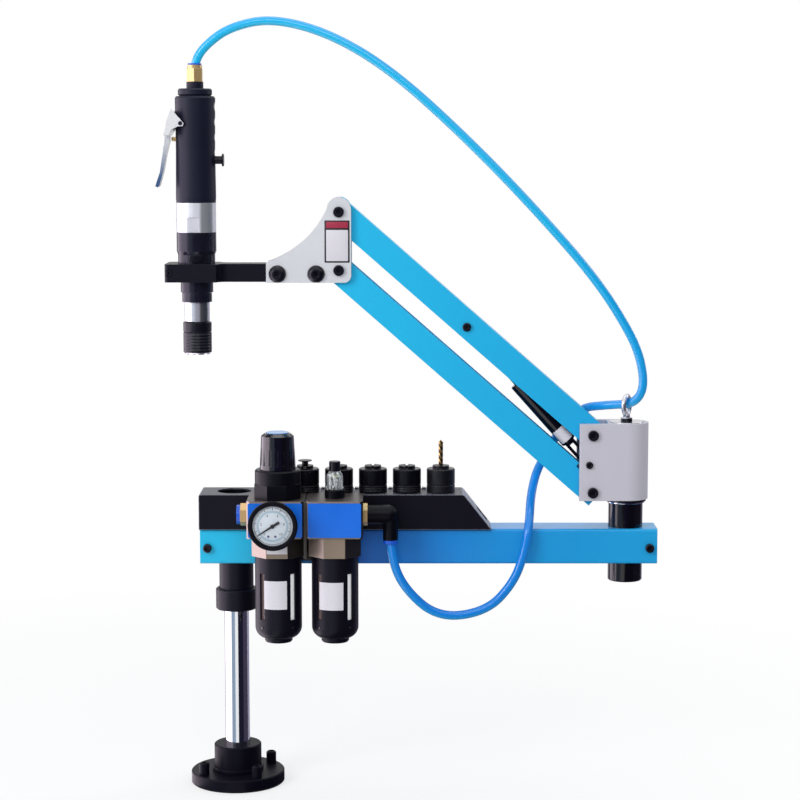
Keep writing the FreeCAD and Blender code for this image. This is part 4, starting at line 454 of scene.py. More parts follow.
def cast_metal(name, base):
    """Die cast body in a warm grey, painted with light and shade: its left facets pale, its right ones
    dark, its top darker, its corners lit by a painted highlight.
    """
    f, at, normal, near = started(name, 0.7 * MM)
    blast = f.noise(at, 1300, 3)
    clouds = f.noise(at, 35, 3)
    side, _, up = f.faces_to()
    tone = f.cloudy(clouds, chosen(base), 0.9, 1.1)
    # painted light and shade by facing: pale away from the turret, dark toward it, darker on top
    tone = f.mixed((side * -1.5).clamped() * 0.55, tone, shade(206, 186, 180))
    tone = f.mixed((side * 1.5).clamped() * 0.95, tone, shade(20, 19, 24))
    tone = f.mixed(up.clamped() * 0.85, tone, shade(52, 47, 54))
    return f.surface(
        # painted highlight on the corners
        base_color=f.mixed(near * 0.8, tone, shade(150, 146, 146)),
        metallic=0.35,
        roughness=uneven(0.4, (blast, 0.14), (clouds, 0.08)),
        normal=f.bump(blast, 0.02 * MM, 0.6, normal),
    )


def grip_moulding(name):
    """The motor's soft grip, a slightly blue black with a dull sheen."""
    f, at, normal, near = started(name, 0.5 * MM)
    pores = f.noise(at, 900, 3, 0.65)
    wipes = f.noise(f.place(scale=(1, 1, 0.25)), 40, 3)
    tone = f.mixed(wipes, shade(17, 19, 37), shade(25, 28, 50))
    return f.surface(
        # painted highlight on the corners
        base_color=f.mixed(near * 0.4, tone, shade(60, 60, 76)),
        roughness=uneven(0.42, (pores, 0.14), (wipes, 0.1)),
        specular_ior_level=0.22,
        normal=f.bump(pores, 0.03 * MM, 0.6, normal),
    )


def hose_skin(name):
    """Polyurethane hose: glossy, a little translucent, with faint drawing lines along it, and painted
    light and shade: paler high up and underneath, deeper low down and on top.
    """
    f = Finish(name)
    along, across, over = (
        f.node("ShaderNodeAttribute", {"attribute_name": way}, out="Fac")
        for way in ("along", "across", "over")
    )
    spot = f.node("ShaderNodeCombineXYZ", None, {0: along * 3, 1: across * 0.1, 2: over * 0.1})
    cloud = f.noise(spot, 6)
    lines = f.noise(spot, 12)
    # painted light and shade by height: the upper colour high up, the lower one low down
    dark_below, fade = 0.3, 0.35
    high = ((f.axes(f.place())[2] - dark_below) / fade).clamped()
    upward = f.faces_to()[2]
    base = f.mixed(high, chosen("hose_low"), chosen("hose"))
    # painted light on the underside and painted shade on the top
    base = f.mixed((upward * -1.2).clamped() * 0.4, base, shade(90, 225, 255))
    base = f.mixed((upward * 1.2).clamped() * 0.4, base, shade(0, 128, 232))
    return f.surface(
        base_color=f.mixed(cloud * 0.08, base, shade(110, 205, 255)),
        roughness=uneven(0.2, (cloud, 0.1)),
        coat_weight=0.4,
        coat_roughness=0.08,
        normal=f.bump(lines, 0.001 * MM, 0.1),
    )


def bowl_moulding(name):
    """The bowls' milky clear plastic, with painted light: windows toward the turret glow, and those on
    the other side are painted in a brownish shade.
    """
    f = Finish(name)
    haze = f.noise(f.place(), 60, 3)
    lines = f.noise(f.place(scale=(1, 1, 6)), 50)
    side = f.faces_to()[0]
    pale = f.mixed(lines, (0.9, 0.9, 0.92), (0.98, 0.98, 0.99))
    return f.half_clear(
        0.8 + haze * 0.15, (0.95, 0.96, 0.97),
        # painted shade on the windows that face away from the turret, and a painted glow on those toward
        # it
        base_color=f.mixed((side * -3 - 0.4).clamped(), pale, shade(112, 92, 92)),
        roughness=0.1 + haze * 0.1,
        emission_color=f.mixed((side * 3).clamped(), (0, 0, 0), (0.9, 0.9, 0.93)),
        emission_strength=0.3,
    )


def clear_moulding(name):
    """Clear polycarbonate, seen through except for painted glints where it would ripple and catch the
    light.
    """
    f = Finish(name)
    haze = f.noise(f.place(), 70, 3)
    # painted glints: noise patches that turn the dome opaque and pale
    painted_glints = ((f.noise(f.place(scale=(1, 1, 0.4)), 330) - 0.55) * 12).clamped()
    shine = f.node("ShaderNodeFresnel", None, {"IOR": 1.5})
    return f.half_clear(
        (shine * 0.9 + 0.03 + haze * 0.04 + painted_glints * 0.75).clamped(), (0.93, 0.95, 0.95),
        base_color=(0.93, 0.94, 0.96),
        roughness=0.08 + haze * 0.06,
        specular_ior_level=0.8,
    )


def dial_glass(name):
    """Thin flat gauge glass."""
    f = Finish(name)
    shine = f.node("ShaderNodeFresnel", None, {"IOR": 1.35})
    smear = f.noise(f.place(), 90, 3)
    return f.half_clear(
        shine * 0.8, (0.98, 0.99, 1), base_color=(0.9, 0.92, 0.95), roughness=0.03 + smear * 0.05
    )


def printed(name, ink, rough=0.5):
    """Ink or paper on a label: nearly even, with fibres in it."""
    f = Finish(name)
    at = f.place()
    fibres = f.noise(at, 500, 4, 0.7)
    return f.surface(
        base_color=f.cloudy(fibres, ink, 0.95, 1.05),
        roughness=uneven(rough, (f.noise(at, 60), 0.12)),
        normal=f.bump(fibres, 0.004 * MM, 0.5),
    )


def sight_oil(name):
    """A bead of yellow green oil."""
    f = Finish(name)
    cloud = f.noise(f.place(), 240, 3)
    return f.surface(
        base_color=f.mixed(cloud, shade(150, 168, 70), shade(214, 226, 130)),
        roughness=0.08 + cloud * 0.1,
        coat_weight=0.5,
        coat_roughness=0.04,
    )


def golden_drill(name):
    """The last parked collet: black, with its drill in a golden coating."""
    f, at, normal, near = started(name, 0.4 * MM)
    collet_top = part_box("tap_collet_5")[1].z + 0.5 * MM
    drill = f.axes(at)[2] > collet_top
    blotches = f.noise(at, 60, 4)
    body = f.mixed(blotches, shade(20, 20, 24), shade(36, 36, 42))
    # painted highlight on the corners
    body = f.mixed(near * 0.7, body, shade(88, 88, 96))
    x, y, z = f.axes(f.place(centre=tuple(middle("tap_collet_6"))))
    # painted shade in the drill's flutes: the dark bands of the gold
    flutes, twist = 2, 900
    flute = ((f.math("ARCTAN2", y, x) * flutes + z * twist).wave() * 0.5 + 0.5).clamped()
    gold = f.mixed(flute, shade(74, 52, 34), shade(214, 178, 116))
    return f.surface(
        base_color=f.mixed(drill, body, gold),
        metallic=0.35 + drill * 0.65,
        roughness=uneven(0.33, (blotches, 0.16)) - drill * 0.1,
        normal=f.bump(flute * drill, 0.9 * MM, 0.8, normal),
    )


CHUCK_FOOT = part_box("chuck_collet")[0].z
TRAY_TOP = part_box("collet_tray")[1].z
NUT_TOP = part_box("turret_housing")[1].z + 4.2 * MM
UPRIGHT = (1, 1, 0.05)

# each finish: what makes it, its values, and the frame's nodes that wear it
LOOKS = {
    "Arm paint": (arm_paint, {}, "horizontal_arm upper_arm lower_arm"),
    "Turret paint": (painted, dict(base="turret", rough=0.38, peel=700, edge=1.1), "turret_housing"),
    "Head paint": (painted, dict(base="head", rough=0.38, peel=700, edge=1.1), "head_plates"),
    "Black satin": (painted, dict(base="black", rough=0.4, peel=1100, edge=3.5, shine=0.22),
                    "holder_bar bowl_guards stop_collar swing_sleeve"),
    "Base black": (painted, dict(base="black", light=0.8, rough=0.46, peel=1100, edge=5.0, shine=0.1),
                   "base_flange base_screws"),
    "Black lacquer": (painted, dict(base=shade(12, 10, 18), rough=0.1, peel=260, coat=0.3, edge=1.5,
                                    shine=0.4), "pivot_post gas_cylinder"),
    "Tray black": (tray_paint, {}, "collet_tray"),
    "Chrome plate": (plated, dict(base=shade(232, 234, 238), rough=0.07, lines=(1, 1, 0.02),
                                  depth=0.002 * MM), "column gas_rod"),
    "Satin chrome": (plated, dict(base=shade(226, 226, 232), rough=0.2, lines=UPRIGHT, metal=0.6,
                                  dusk=0.9), "chuck_sleeve"),
    "Bright sleeve": (plated, dict(base=shade(240, 240, 247), rough=0.26, lines=UPRIGHT, metal=0.25,
                                   dusk=0.7), "exhaust_ring"),
    "Lever steel": (lever_steel, {}, "trigger_lever"),
    "Eye steel": (blackened, dict(above=NUT_TOP), "eye_bolt"),
    "Turned steel": (plated, dict(base=shade(196, 196, 200), rough=0.24, lines=(0.05, 0.05, 12)),
                     "spindle clamp_blocks bearing_cap"),
    "Blackened steel": (blackened, {}, "head_bolts turret_bolts rod_bolt thrust_washer arm_bolts "
                                       "reverse_button"),
    "Gearbox black": (blackened, dict(tones=(shade(22, 21, 34), shade(38, 37, 54)), rough=0.2),
                      "gearbox"),
    "Chuck black": (blackened, dict(below=CHUCK_FOOT + 2 * MM,
                                    rings=(CHUCK_FOOT + 4 * MM, CHUCK_FOOT + 24 * MM, 3.4 * MM)),
                    "chuck_collet"),
    "Collet black": (blackened, dict(rings=(TRAY_TOP + 2 * MM, TRAY_TOP + 8 * MM, 2.4 * MM),
                                     tones=(shade(5, 5, 12), shade(14, 13, 24))),
                     "tap_collet_1 tap_collet_2 tap_collet_3 tap_collet_4 tap_collet_5"),
    "Collet with drill": (golden_drill, {}, "tap_collet_6"),
    "Cast body": (cast_metal, dict(base="unit"), "filter_body oiler_body"),
    "Cast bracket": (cast_metal, dict(base=shade(74, 68, 64)), "unit_bracket"),
    "Yellow brass": (plated, dict(base=shade(226, 192, 134), rough=0.24, lines=(0.3, 0.3, 3),
                                  depth=0.01 * MM, metal=0.5),
                     "inlet_fitting port_nuts valve_stem pressure_screw"),
    "Bearing bronze": (plated, dict(base=shade(176, 132, 78), rough=0.35, depth=0.01 * MM),
                       "turret_bushes"),
    "Black moulding": (moulded, dict(base=shade(15, 13, 24), rough=0.26, shine=0.4),
                       "oil_knob gauge_needle"),
    "Gloss moulding": (moulded, dict(base=shade(13, 11, 20), rough=0.13, grain=700, depth=0.006 * MM,
                                     coat=0.4, shine=0.6), "gauge_case regulator_knob"),
    "Dull moulding": (moulded, dict(base=shade(8, 8, 17), rough=0.36, shine=0.18),
                      "regulator_bonnet sight_base outlet_elbow drain_knob"),
    "Soft grip": (grip_moulding, {}, "motor_grip"),
    "Blue moulding": (moulded, dict(base=shade(24, 92, 214), rough=0.26, coat=0.2), "release_rings"),
    "Front plate": (moulded, dict(base="plates", rough=0.24, grain=700, coat=0.3), "front_plates"),
    "White moulding": (moulded, dict(base=shade(222, 220, 212), rough=0.4), "bowl_inserts"),
    "Bowl moulding": (bowl_moulding, {}, "clear_bowls"),
    "Clear moulding": (clear_moulding, {}, "sight_dome"),
    "Hose skin": (hose_skin, {}, "air_hose"),
    "Blue steel": (plated, dict(base=shade(112, 110, 160), rough=0.3), ""),
    "Zinc plate": (plated, dict(base=shade(206, 208, 206), rough=0.22, depth=0.01 * MM), ""),
    "Knob cap": (moulded, dict(base=shade(96, 170, 240), rough=0.25, coat=0.3), ""),
    "Dial glass": (dial_glass, {}, ""),
    "Label paper": (printed, dict(ink=shade(232, 228, 236), rough=0.35), ""),
    "Dial paper": (printed, dict(ink=shade(244, 247, 251), rough=0.4), ""),
    "Black ink": (printed, dict(ink=shade(26, 26, 30)), ""),
    "Red ink": (printed, dict(ink=shade(176, 38, 70)), ""),
    "Pale blue ink": (printed, dict(ink=shade(196, 212, 222)), ""),
    "Sight oil": (sight_oil, {}, ""),
}


def finish(name):
    """The finish of that name, made when a piece first asks for it."""
    make, values, _ = LOOKS[name]
    return bpy.data.materials.get(name) or make(name, **values)


# ---------------------------------------------------------------- modelling by hand


def nothing_chosen():
    if bpy.context.mode != "OBJECT":
        bpy.ops.object.mode_set(mode="OBJECT")
    bpy.ops.object.select_all(action="DESELECT")


def begin(name, add, **how):
    """Adds a primitive by itself and names it."""
    nothing_chosen()
    add(**how)
    piece = bpy.context.object
    piece.name = piece.data.name = name
    return piece


def work_on(piece):
    nothing_chosen()
    piece.select_set(True)
    bpy.context.view_layer.objects.active = piece


def edit(piece, all_of_it=False):
    """Opens a piece in edit mode, with all of it selected if that is asked."""
    work_on(piece)
    bpy.ops.object.mode_set(mode="EDIT")
    if all_of_it:
        bpy.ops.mesh.select_all(action="SELECT")


def done():
    bpy.ops.object.mode_set(mode="OBJECT")


def choose(piece, kind, wanted):
    """In edit mode, selects the faces, edges or points that are wanted, and no others."""
    types = {"verts": "VERT", "edges": "EDGE", "faces": "FACE"}
    bpy.ops.mesh.select_mode(type=types[kind])
    bpy.ops.mesh.select_all(action="DESELECT")
    shape = bmesh.from_edit_mesh(piece.data)
    found = [item for item in getattr(shape, kind) if wanted(item)]
    for item in found:
        item.select_set(True)
    shape.select_flush_mode()
    bmesh.update_edit_mesh(piece.data)
    if not found:
        raise RuntimeError(f"{piece.name}: nothing to select among its {kind}")


def modify(piece, kind, **settings):
    """Adds a modifier and applies it."""
    work_on(piece)
    modifier = piece.modifiers.new(kind.title(), kind)
    for name, value in settings.items():
        setattr(modifier, name, value)
    bpy.ops.object.modifier_apply(modifier=modifier.name)


def soften(piece, width, segments=3, angle=50):
    """Rounds the edges that are sharper than an angle."""
    modify(piece, "BEVEL", width=width, segments=segments, limit_method="ANGLE",
           angle_limit=math.radians(angle))


def settle(piece, body, look, smooth=35):
    """Puts the piece's place in its mesh, gives it its look, and lets it ride."""
    work_on(piece)
    bpy.ops.object.transform_apply(location=True, rotation=True, scale=True)
    bpy.ops.object.shade_smooth_by_angle(angle=math.radians(smooth))
    piece.data.materials.clear()
    piece.data.materials.append(finish(look))
    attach(piece, body)


def copied(piece, name, across):
    """A copy with its own mesh, moved across towards the turret."""
    twin = piece.copy()
    twin.data = piece.data.copy()
    twin.name = twin.data.name = name
    bpy.context.scene.collection.objects.link(twin)
    twin.matrix_world = Matrix.Translation((across, 0, 0)) @ piece.matrix_world
    return twin


def joined(name, pieces):
    """Several pieces as one object."""
    nothing_chosen()
    for piece in pieces:
        piece.select_set(True)
    bpy.context.view_layer.objects.active = pieces[0]
    bpy.ops.object.join()
    whole = bpy.context.object
    whole.name = whole.data.name = name
    return whole


def plate(name, centre, wide, tall, thick, corner=0.0):
    """A thin plate that faces the front, its corners and edges broken."""
    piece = begin(name, bpy.ops.mesh.primitive_plane_add, size=1, location=centre, rotation=FACING)
    piece.scale = (wide, tall, 1)
    bpy.ops.object.transform_apply(location=False, rotation=False, scale=True)
    if corner:
        edit(piece, all_of_it=True)
        bpy.ops.mesh.bevel(offset=corner, segments=4, affect="VERTICES")
        done()
    modify(piece, "SOLIDIFY", thickness=thick, offset=-1)
    soften(piece, thick * 0.2, segments=2, angle=30)
    return piece


def drum(name, centre, radius, thick, turn, steps):
    return begin(name, bpy.ops.mesh.primitive_cylinder_add, vertices=steps, radius=radius,
                 depth=thick, location=centre, rotation=turn)


def disc(name, centre, radius, thick, turn=(0, 0, 0), steps=72, edge=0.2):
    """A round plate with broken edges."""
    piece = drum(name, centre, radius, thick, turn, steps)
    soften(piece, thick * edge)
    return piece


def ring(name, centre, outer, inner, thick, turn=(0, 0, 0), steps=72):
    """A flat ring: a disc whose middle is taken out and whose edges are rounded."""
    piece = drum(name, centre, outer, thick, turn, steps)
    edit(piece)
    choose(piece, "faces", lambda face: len(face.verts) > 4)
    bpy.ops.mesh.inset(thickness=outer - inner, use_individual=True)
    bpy.ops.mesh.bridge_edge_loops()
    done()
    soften(piece, min(thick, outer - inner) * 0.25)
    return piece


def sink_top(piece, rim, deep):
    """Sinks a round piece's top face inside its rim."""
    edit(piece)
    choose(piece, "faces", lambda face: face.normal.z > 0.99 and len(face.verts) > 8)
    bpy.ops.mesh.inset(thickness=rim)
    bpy.ops.transform.translate(value=(0, 0, -deep))
    done()


def keep_between(piece, left, right, highest=math.inf):
    """Keeps the part of an upright drum between two angles from the front and below a height."""
    def outside(face):
        spot = face.calc_center_median()
        angle = math.degrees(math.atan2(spot.x, -spot.y))
        return spot.z > highest or not left < angle < right

    edit(piece)
    choose(piece, "faces", outside)
    bpy.ops.mesh.delete(type="FACE")
    done()


# ---------------------------------------------------------------- air hose

# the middle of the hose, from the elbow through the eye bolt to the motor
ROUTE = (
    (0.1765, -0.058, 0.300), (0.1765, -0.058, 0.276), (0.1905, -0.0555, 0.238),
    (0.230, -0.0505, 0.202), (0.285, -0.044, 0.2085), (0.315, -0.038, 0.240),
    (0.327, -0.0335, 0.272), (0.3325, -0.031, 0.303), (0.3364, 0.0075, 0.3345),
    (0.3473, 0.0355, 0.3655), (0.388, 0.0335, 0.4295), (0.426, 0.0083, 0.4365),
    (0.451, -0.0027, 0.4385), (0.463, -0.007, 0.456), (0.4595, -0.001, 0.489),
    (0.446, 0.0, 0.521), (0.408, 0.0, 0.580), (0.340, 0.0, 0.657), (0.264, 0.0, 0.735),
    (0.180, 0.0, 0.811), (0.110, 0.0, 0.853), (0.045, 0.0, 0.870), (-0.002, 0.0, 0.860),
    (-0.0295, 0.0, 0.840), (-0.0415, 0.0, 0.822), (-0.0415, 0.0, 0.811),
)
EYE = Vector((0.4445, 0.0, 0.4372))
CREST = Vector((0.264, 0.0, 0.735))
# each run: its name, the bodies at its ends, and where it turns from the one to the other
RUNS = (
    ("hose_supply", "arm", "turret", (0.3473, 0.0355, 0.3655), EYE),
    ("hose_rise", "turret", "upper_link", (0.459, 0.0, 0.462), CREST),
    ("hose_drop", "upper_link", "head", CREST, (-0.0295, 0.0, 0.845)),
)


def hose_line():
    """The hose's smooth centre line as a curve object."""
    curve = bpy.data.curves.new("hose_line", "CURVE")
    curve.dimensions = "3D"
    curve.resolution_u = 12
    line = curve.splines.new("NURBS")
    line.points.add(len(ROUTE) - 1)
    for point, place in zip(line.points, ROUTE):
        point.co = (*place, 1)
    line.order_u = 3
    line.use_endpoint_u = True
    made = bpy.data.objects.new("hose_line", curve)
    bpy.context.scene.collection.objects.link(made)
    return made


def hose_rings(across):
    """The points along the middle of the hose, and the ring of points round each of them."""
    line = hose_line()
    path = [point.co.copy() for point in bpy.data.meshes.new_from_object(line).vertices]
    line.data.bevel_depth = across / 2
    line.data.bevel_resolution = 5
    bpy.context.view_layer.update()
    thick = line.evaluated_get(bpy.context.evaluated_depsgraph_get())
    skin = [point.co.copy() for point in bpy.data.meshes.new_from_object(thick).vertices]
    bpy.data.objects.remove(line)
    around = len(skin) // len(path)
    return path, [skin[i * around:(i + 1) * around] for i in range(len(path))]


def nearest(path, place):
    return min(range(len(path)), key=lambda i: (path[i] - Vector(place)).length)


def distances(path):
    """How far along a path each of its points is."""
    far = [0.0]
    for first, second in zip(path, path[1:]):
        far.append(far[-1] + (second - first).length)
    return far


def hose_run(name, rings, path):
    """One run of the hose as a closed tube that knows how far along and round each point is."""
    around = len(rings[0])
    faces = [
        (i * around + j, i * around + (j + 1) % around,
         (i + 1) * around + (j + 1) % around, (i + 1) * around + j)
        for i in range(len(rings) - 1)
        for j in range(around)
    ]
    last = (len(rings) - 1) * around
    faces += [tuple(reversed(range(around))), tuple(last + j for j in range(around))]
    mesh = bpy.data.meshes.new(name)
    mesh.from_pydata([point for points in rings for point in points], [], faces)
    turns = [2 * math.pi * j / around for j in range(around)]
    ways = {
        "along": [far for far in distances(path) for _ in turns],
        "across": [math.cos(turn) for _ in path for turn in turns],
        "over": [math.sin(turn) for _ in path for turn in turns],
    }
    for way, values in ways.items():
        mesh.attributes.new(way, "FLOAT", "POINT").data.foreach_set("value", values)
    piece = bpy.data.objects.new(name, mesh)
    bpy.context.scene.collection.objects.link(piece)
    edit(piece, all_of_it=True)
    bpy.ops.mesh.normals_make_consistent(inside=False)
    done()
    bpy.ops.object.shade_smooth_by_angle(angle=math.radians(40))
    return piece


class AirHose(bpy.types.Operator):
    """The air hose, in three runs laid along the arms"""

    bl_idname = "tapping.air_hose"
    bl_label = "Air hose"

    def execute(self, context):
        sizes = context.scene.tapping_sizes
        path, rings = hose_rings(sizes.hose_across)
        whole = distances(path)[-1]
        marks = [0, nearest(path, EYE), nearest(path, CREST), len(path) - 1]
        for (name, body, next_body, start, end), first, last in zip(RUNS, marks, marks[1:]):
            run = path[first:last + 1]
            far = distances(run)[-1]
            piece = hose_run(name, rings[first:last + 1], run)
            piece.data.materials.append(finish("Hose skin"))
            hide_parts("air_hose")
            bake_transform(piece)
        return {"FINISHED"}


# ---------------------------------------------------------------- pressure gauge

DIAL_SWEEP = math.radians(270)
DIAL_START = math.radians(225)
DIAL_FACE = -113.95 * MM
INK = 0.08 * MM
ROUND = 120  # the sides of a big round piece


def dial_turn(share):
    """The turn of a dial mark from upright, clockwise as seen from the front."""
    return DIAL_START - math.pi / 2 - DIAL_SWEEP * share


def dial_marks(centre, outer, steps):
    """The dial's line, with a long mark at each step and four short ones between them."""
    x, front, z = centre
    marks = [ring("dial_line", centre, outer + 0.3 * MM, outer, INK, FACING, ROUND)]
    about = Matrix.Translation(centre)
    for i in range(steps * 5 + 1):
        tall, wide = (2.6 * MM, 0.6 * MM) if i % 5 == 0 else (1.5 * MM, 0.32 * MM)
        mark = plate("dial_mark", (x, front, z + outer - tall / 2), wide, tall, INK)
        turn = Matrix.Rotation(-dial_turn(i / (steps * 5)), 4, "Y")
        mark.matrix_world = about @ turn @ about.inverted() @ mark.matrix_world
        marks.append(mark)
    return joined("gauge_marks", marks)


def dial_numbers(centre, far, steps):
    """Every second number, upright, at a distance from the dial's middle."""
    x, front, z = centre
    numbers = []
    for value in range(0, steps + 1, 2):
        turn = dial_turn(value / steps)
        spot = (x - far * math.sin(turn), front, z + far * math.cos(turn))
        text = begin("dial_number", bpy.ops.object.text_add, location=spot, rotation=FACING)
        text.data.body = str(value)
        text.data.size = 3.9 * MM
        text.data.extrude = INK / 2
        text.data.align_x = text.data.align_y = "CENTER"
        bpy.ops.object.convert(target="MESH")
        numbers.append(bpy.context.object)
    return joined("gauge_numbers", numbers)


class GaugeDial(bpy.types.Operator):
    """The gauge's printed face, marks, numbers and tint, its rivets, bezel and glass"""

    bl_idname = "tapping.gauge_dial"
    bl_label = "Gauge dial"

    def execute(self, context):
        sizes = context.scene.tapping_sizes
        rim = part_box("gauge_case")[0].y
        x, _, z = middle("gauge_case")
        front = DIAL_FACE - 0.16 * MM
        outer = sizes.dial_radius - 2.4 * MM
        face = disc("gauge_face", (x, DIAL_FACE, z), sizes.dial_radius, 0.3 * MM, FACING, 96)
        settle(face, "arm", "Dial paper")
        marks = dial_marks((x, front, z), outer, sizes.dial_steps)
        settle(marks, "arm", "Black ink")
        numbers = dial_numbers((x, front, z), outer - 7.6 * MM, sizes.dial_steps)
        settle(numbers, "arm", "Black ink")
        tint = ring("dial_tint", (x, front + 0.05 * MM, z), outer - 2.8 * MM, outer - 5.4 * MM,
                    0.1 * MM, FACING, ROUND)
        settle(tint, "arm", "Pale blue ink")
        rivets = [
            disc("dial_rivet", (x + side, front, z - 11.5 * MM), 1.35 * MM, 0.5 * MM, FACING, 24, 0.3)
            for side in (-4.6 * MM, 3.1 * MM)
        ]
        settle(joined("dial_rivets", rivets), "arm", "Blue steel")
        bezel = ring("gauge_bezel", (x + 0.3 * MM, rim + 2.0 * MM, z + 0.4 * MM), 27.2 * MM,
                     21.9 * MM, 4.4 * MM, FACING, ROUND)
        settle(bezel, "arm", "Dull moulding")
        glass = disc("gauge_glass", (x, rim + 0.9 * MM, z), sizes.dial_radius + 0.1 * MM, 0.8 * MM,
                     FACING, 96)
        settle(glass, "arm", "Dial glass")
        return {"FINISHED"}


# ---------------------------------------------------------------- labels


def wrapped_label(name, axis, low, high, radius, left, right, thick):
    """A paper label wrapped on an upright round face between two angles from the front."""
    piece = begin(name, bpy.ops.mesh.primitive_cylinder_add, vertices=180,
                  radius=radius, depth=high - low, end_fill_type="NOTHING",
                  location=(axis[0], axis[1], (low + high) / 2))
    keep_between(piece, left, right)
    modify(piece, "SOLIDIFY", thickness=thick, offset=1)
    return piece


class BowlLabels(bpy.types.Operator):
    """Blank labels and moulded sight dimples on the bowl guards"""

    bl_idname = "tapping.bowl_labels"
    bl_label = "Bowl labels"

    def execute(self, context):
        thick = context.scene.tapping_sizes.label_thick
        low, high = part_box("bowl_guards")
        radius = (high.y - low.y) / 2
        depth = (high.y + low.y) / 2
        dimple_height = 197 * MM
        bowls = (
            ("filter", low.x + radius, 218.9 * MM, 250.8 * MM, -35, 25),
            ("oiler", high.x - radius, 218.0 * MM, 249.1 * MM, -40, 23),
        )
        for name, x, bottom, top, left, right in bowls:
            label = wrapped_label(f"{name}_label", (x, depth), bottom, top,
                                  radius + 0.03 * MM, left, right, thick)
            settle(label, "arm", "Label paper")
            dimples = []
            for angle in (math.radians(-41), math.radians(41)):
                spot = (x + radius * math.sin(angle), depth - radius * math.cos(angle), dimple_height)
                turn = (FACING[0], 0, angle)
                dimples.append(disc(f"{name}_dimple", spot, 1.5 * MM, 1.2 * MM, turn, 24, 0.35))
            settle(joined(f"{name}_dimples", dimples), "arm", "Gloss moulding")
        return {"FINISHED"}


class SkirtLabel(bpy.types.Operator):
    """The blank label on the front of the filter's skirt"""

    bl_idname = "tapping.skirt_label"
    bl_label = "Skirt label"

    def execute(self, context):
        thick = context.scene.tapping_sizes.label_thick
        low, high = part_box("bowl_guards")
        skirt_front = middle("bowl_guards").y - 28.8 * MM
        spot = (low.x + (high.y - low.y) / 2, skirt_front - thick, 288.8 * MM)
        label = plate("skirt_label", spot, 22.4 * MM, 14.0 * MM, thick, 0.4 * MM)
        settle(label, "arm", "Label paper")
        return {"FINISHED"}


class HeadLabel(bpy.types.Operator):
    """The plain framed plate on the head's front cheek, with a red band and an empty field"""

    bl_idname = "tapping.head_label"
    bl_label = "Head label"

    def execute(self, context):
        thick = context.scene.tapping_sizes.label_thick
        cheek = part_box("head_plates")[0].y
        x, z = 117.0 * MM, 623.1 * MM
        wide, tall = 28.0 * MM, 47.0 * MM
        inner = wide - 3.6 * MM
        parts = (
            ("label_frame", cheek - thick, z, wide, tall, 0.8 * MM, "Black ink", "black_plastic"),
            ("label_band", cheek - thick * 1.6, z + tall / 2 - 5.0 * MM, inner, 7.0 * MM, 0.3 * MM,
             "Red ink", "white_plastic"),
            ("label_field", cheek - thick * 1.6, z - 4.4 * MM, inner, 34.6 * MM, 0.3 * MM,
             "Label paper", "white_plastic"),
        )
        for name, front, height, across, up, corner, look, slot in parts:
            settle(plate(name, (x, front, height), across, up, thick, corner), "head", look)
        return {"FINISHED"}


SPRING_WAY = Vector((-0.665505, 0, 0.746393))
SPRING_PIN = Vector((0.4004, 0, 0.3719))


class SpringLabel(bpy.types.Operator):
    """The blank label round the gas spring's lower end"""

    bl_idname = "tapping.spring_label"
    bl_label = "Spring label"

    def execute(self, context):
        thick = context.scene.tapping_sizes.label_thick
        centre = SPRING_PIN + SPRING_WAY * 43.5 * MM
        half = 8.5 * MM
        label = wrapped_label("spring_label", (0, 0), -half, half, 9.03 * MM, -60, 62, thick)
        lean = Matrix.Rotation(math.atan2(SPRING_WAY.x, SPRING_WAY.z), 4, "Y")
        label.matrix_world = Matrix.Translation(centre) @ lean @ label.matrix_world
        settle(label, "spring_body", "Label paper")
        return {"FINISHED"}


# ---------------------------------------------------------------- small fittings


def socket_screw(name, centre, across, tall, key, deep):
    """A round screw head with a rounded rim and a six sided socket, its top facing up."""
    piece = drum(name, centre, across / 2, tall, (0, 0, 0), 48)
    edit(piece)
    choose(piece, "edges", lambda edge: all(point.co.z > 0 for point in edge.verts))
    bpy.ops.mesh.bevel(offset=tall * 0.3, segments=3)
    done()
    top = (centre[0], centre[1], centre[2] + tall / 2)
    cutter = drum("screw_key", top, key / 2, deep * 2, (0, 0, 0), 6)
    modify(piece, "BOOLEAN", object=cutter, operation="DIFFERENCE", solver="EXACT")
    bpy.data.objects.remove(cutter)
    return piece


class TrayScrews(bpy.types.Operator):
    """The small screws between the parked collets"""

    bl_idname = "tapping.tray_screws"
    bl_label = "Tray screws"

    def execute(self, context):
        head = context.scene.tapping_sizes.screw_head
        places = [middle(f"tap_collet_{i}").x for i in range(1, 7)]
        gaps = [(left + right) / 2 for left, right in zip(places, places[1:])]
        first = socket_screw("tray_screw_1", (gaps[0], 16 * MM, TRAY_TOP + 1.2 * MM), head,
                             2.4 * MM, head * 0.5, 1.4 * MM)
        screws = [first] + [copied(first, f"tray_screw_{i}", gap - gaps[0])
                            for i, gap in enumerate(gaps[1:], 2)]
        settle(joined("tray_screws", screws), "arm", "Zinc plate")
        return {"FINISHED"}


class KnobCap(bpy.types.Operator):
    """The coloured cap in the regulator knob"""

    bl_idname = "tapping.knob_cap"
    bl_label = "Knob cap"

    def execute(self, context):
        radius = context.scene.tapping_sizes.cap_radius
        x, y, _ = middle("regulator_knob")
        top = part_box("regulator_knob")[1].z
        cap = disc("knob_cap", (x, y, top + 0.05 * MM), radius, 1.0 * MM, edge=0.3)
        sink_top(cap, radius * 0.18, 0.2 * MM)
        settle(cap, "knob", "Knob cap")
        return {"FINISHED"}


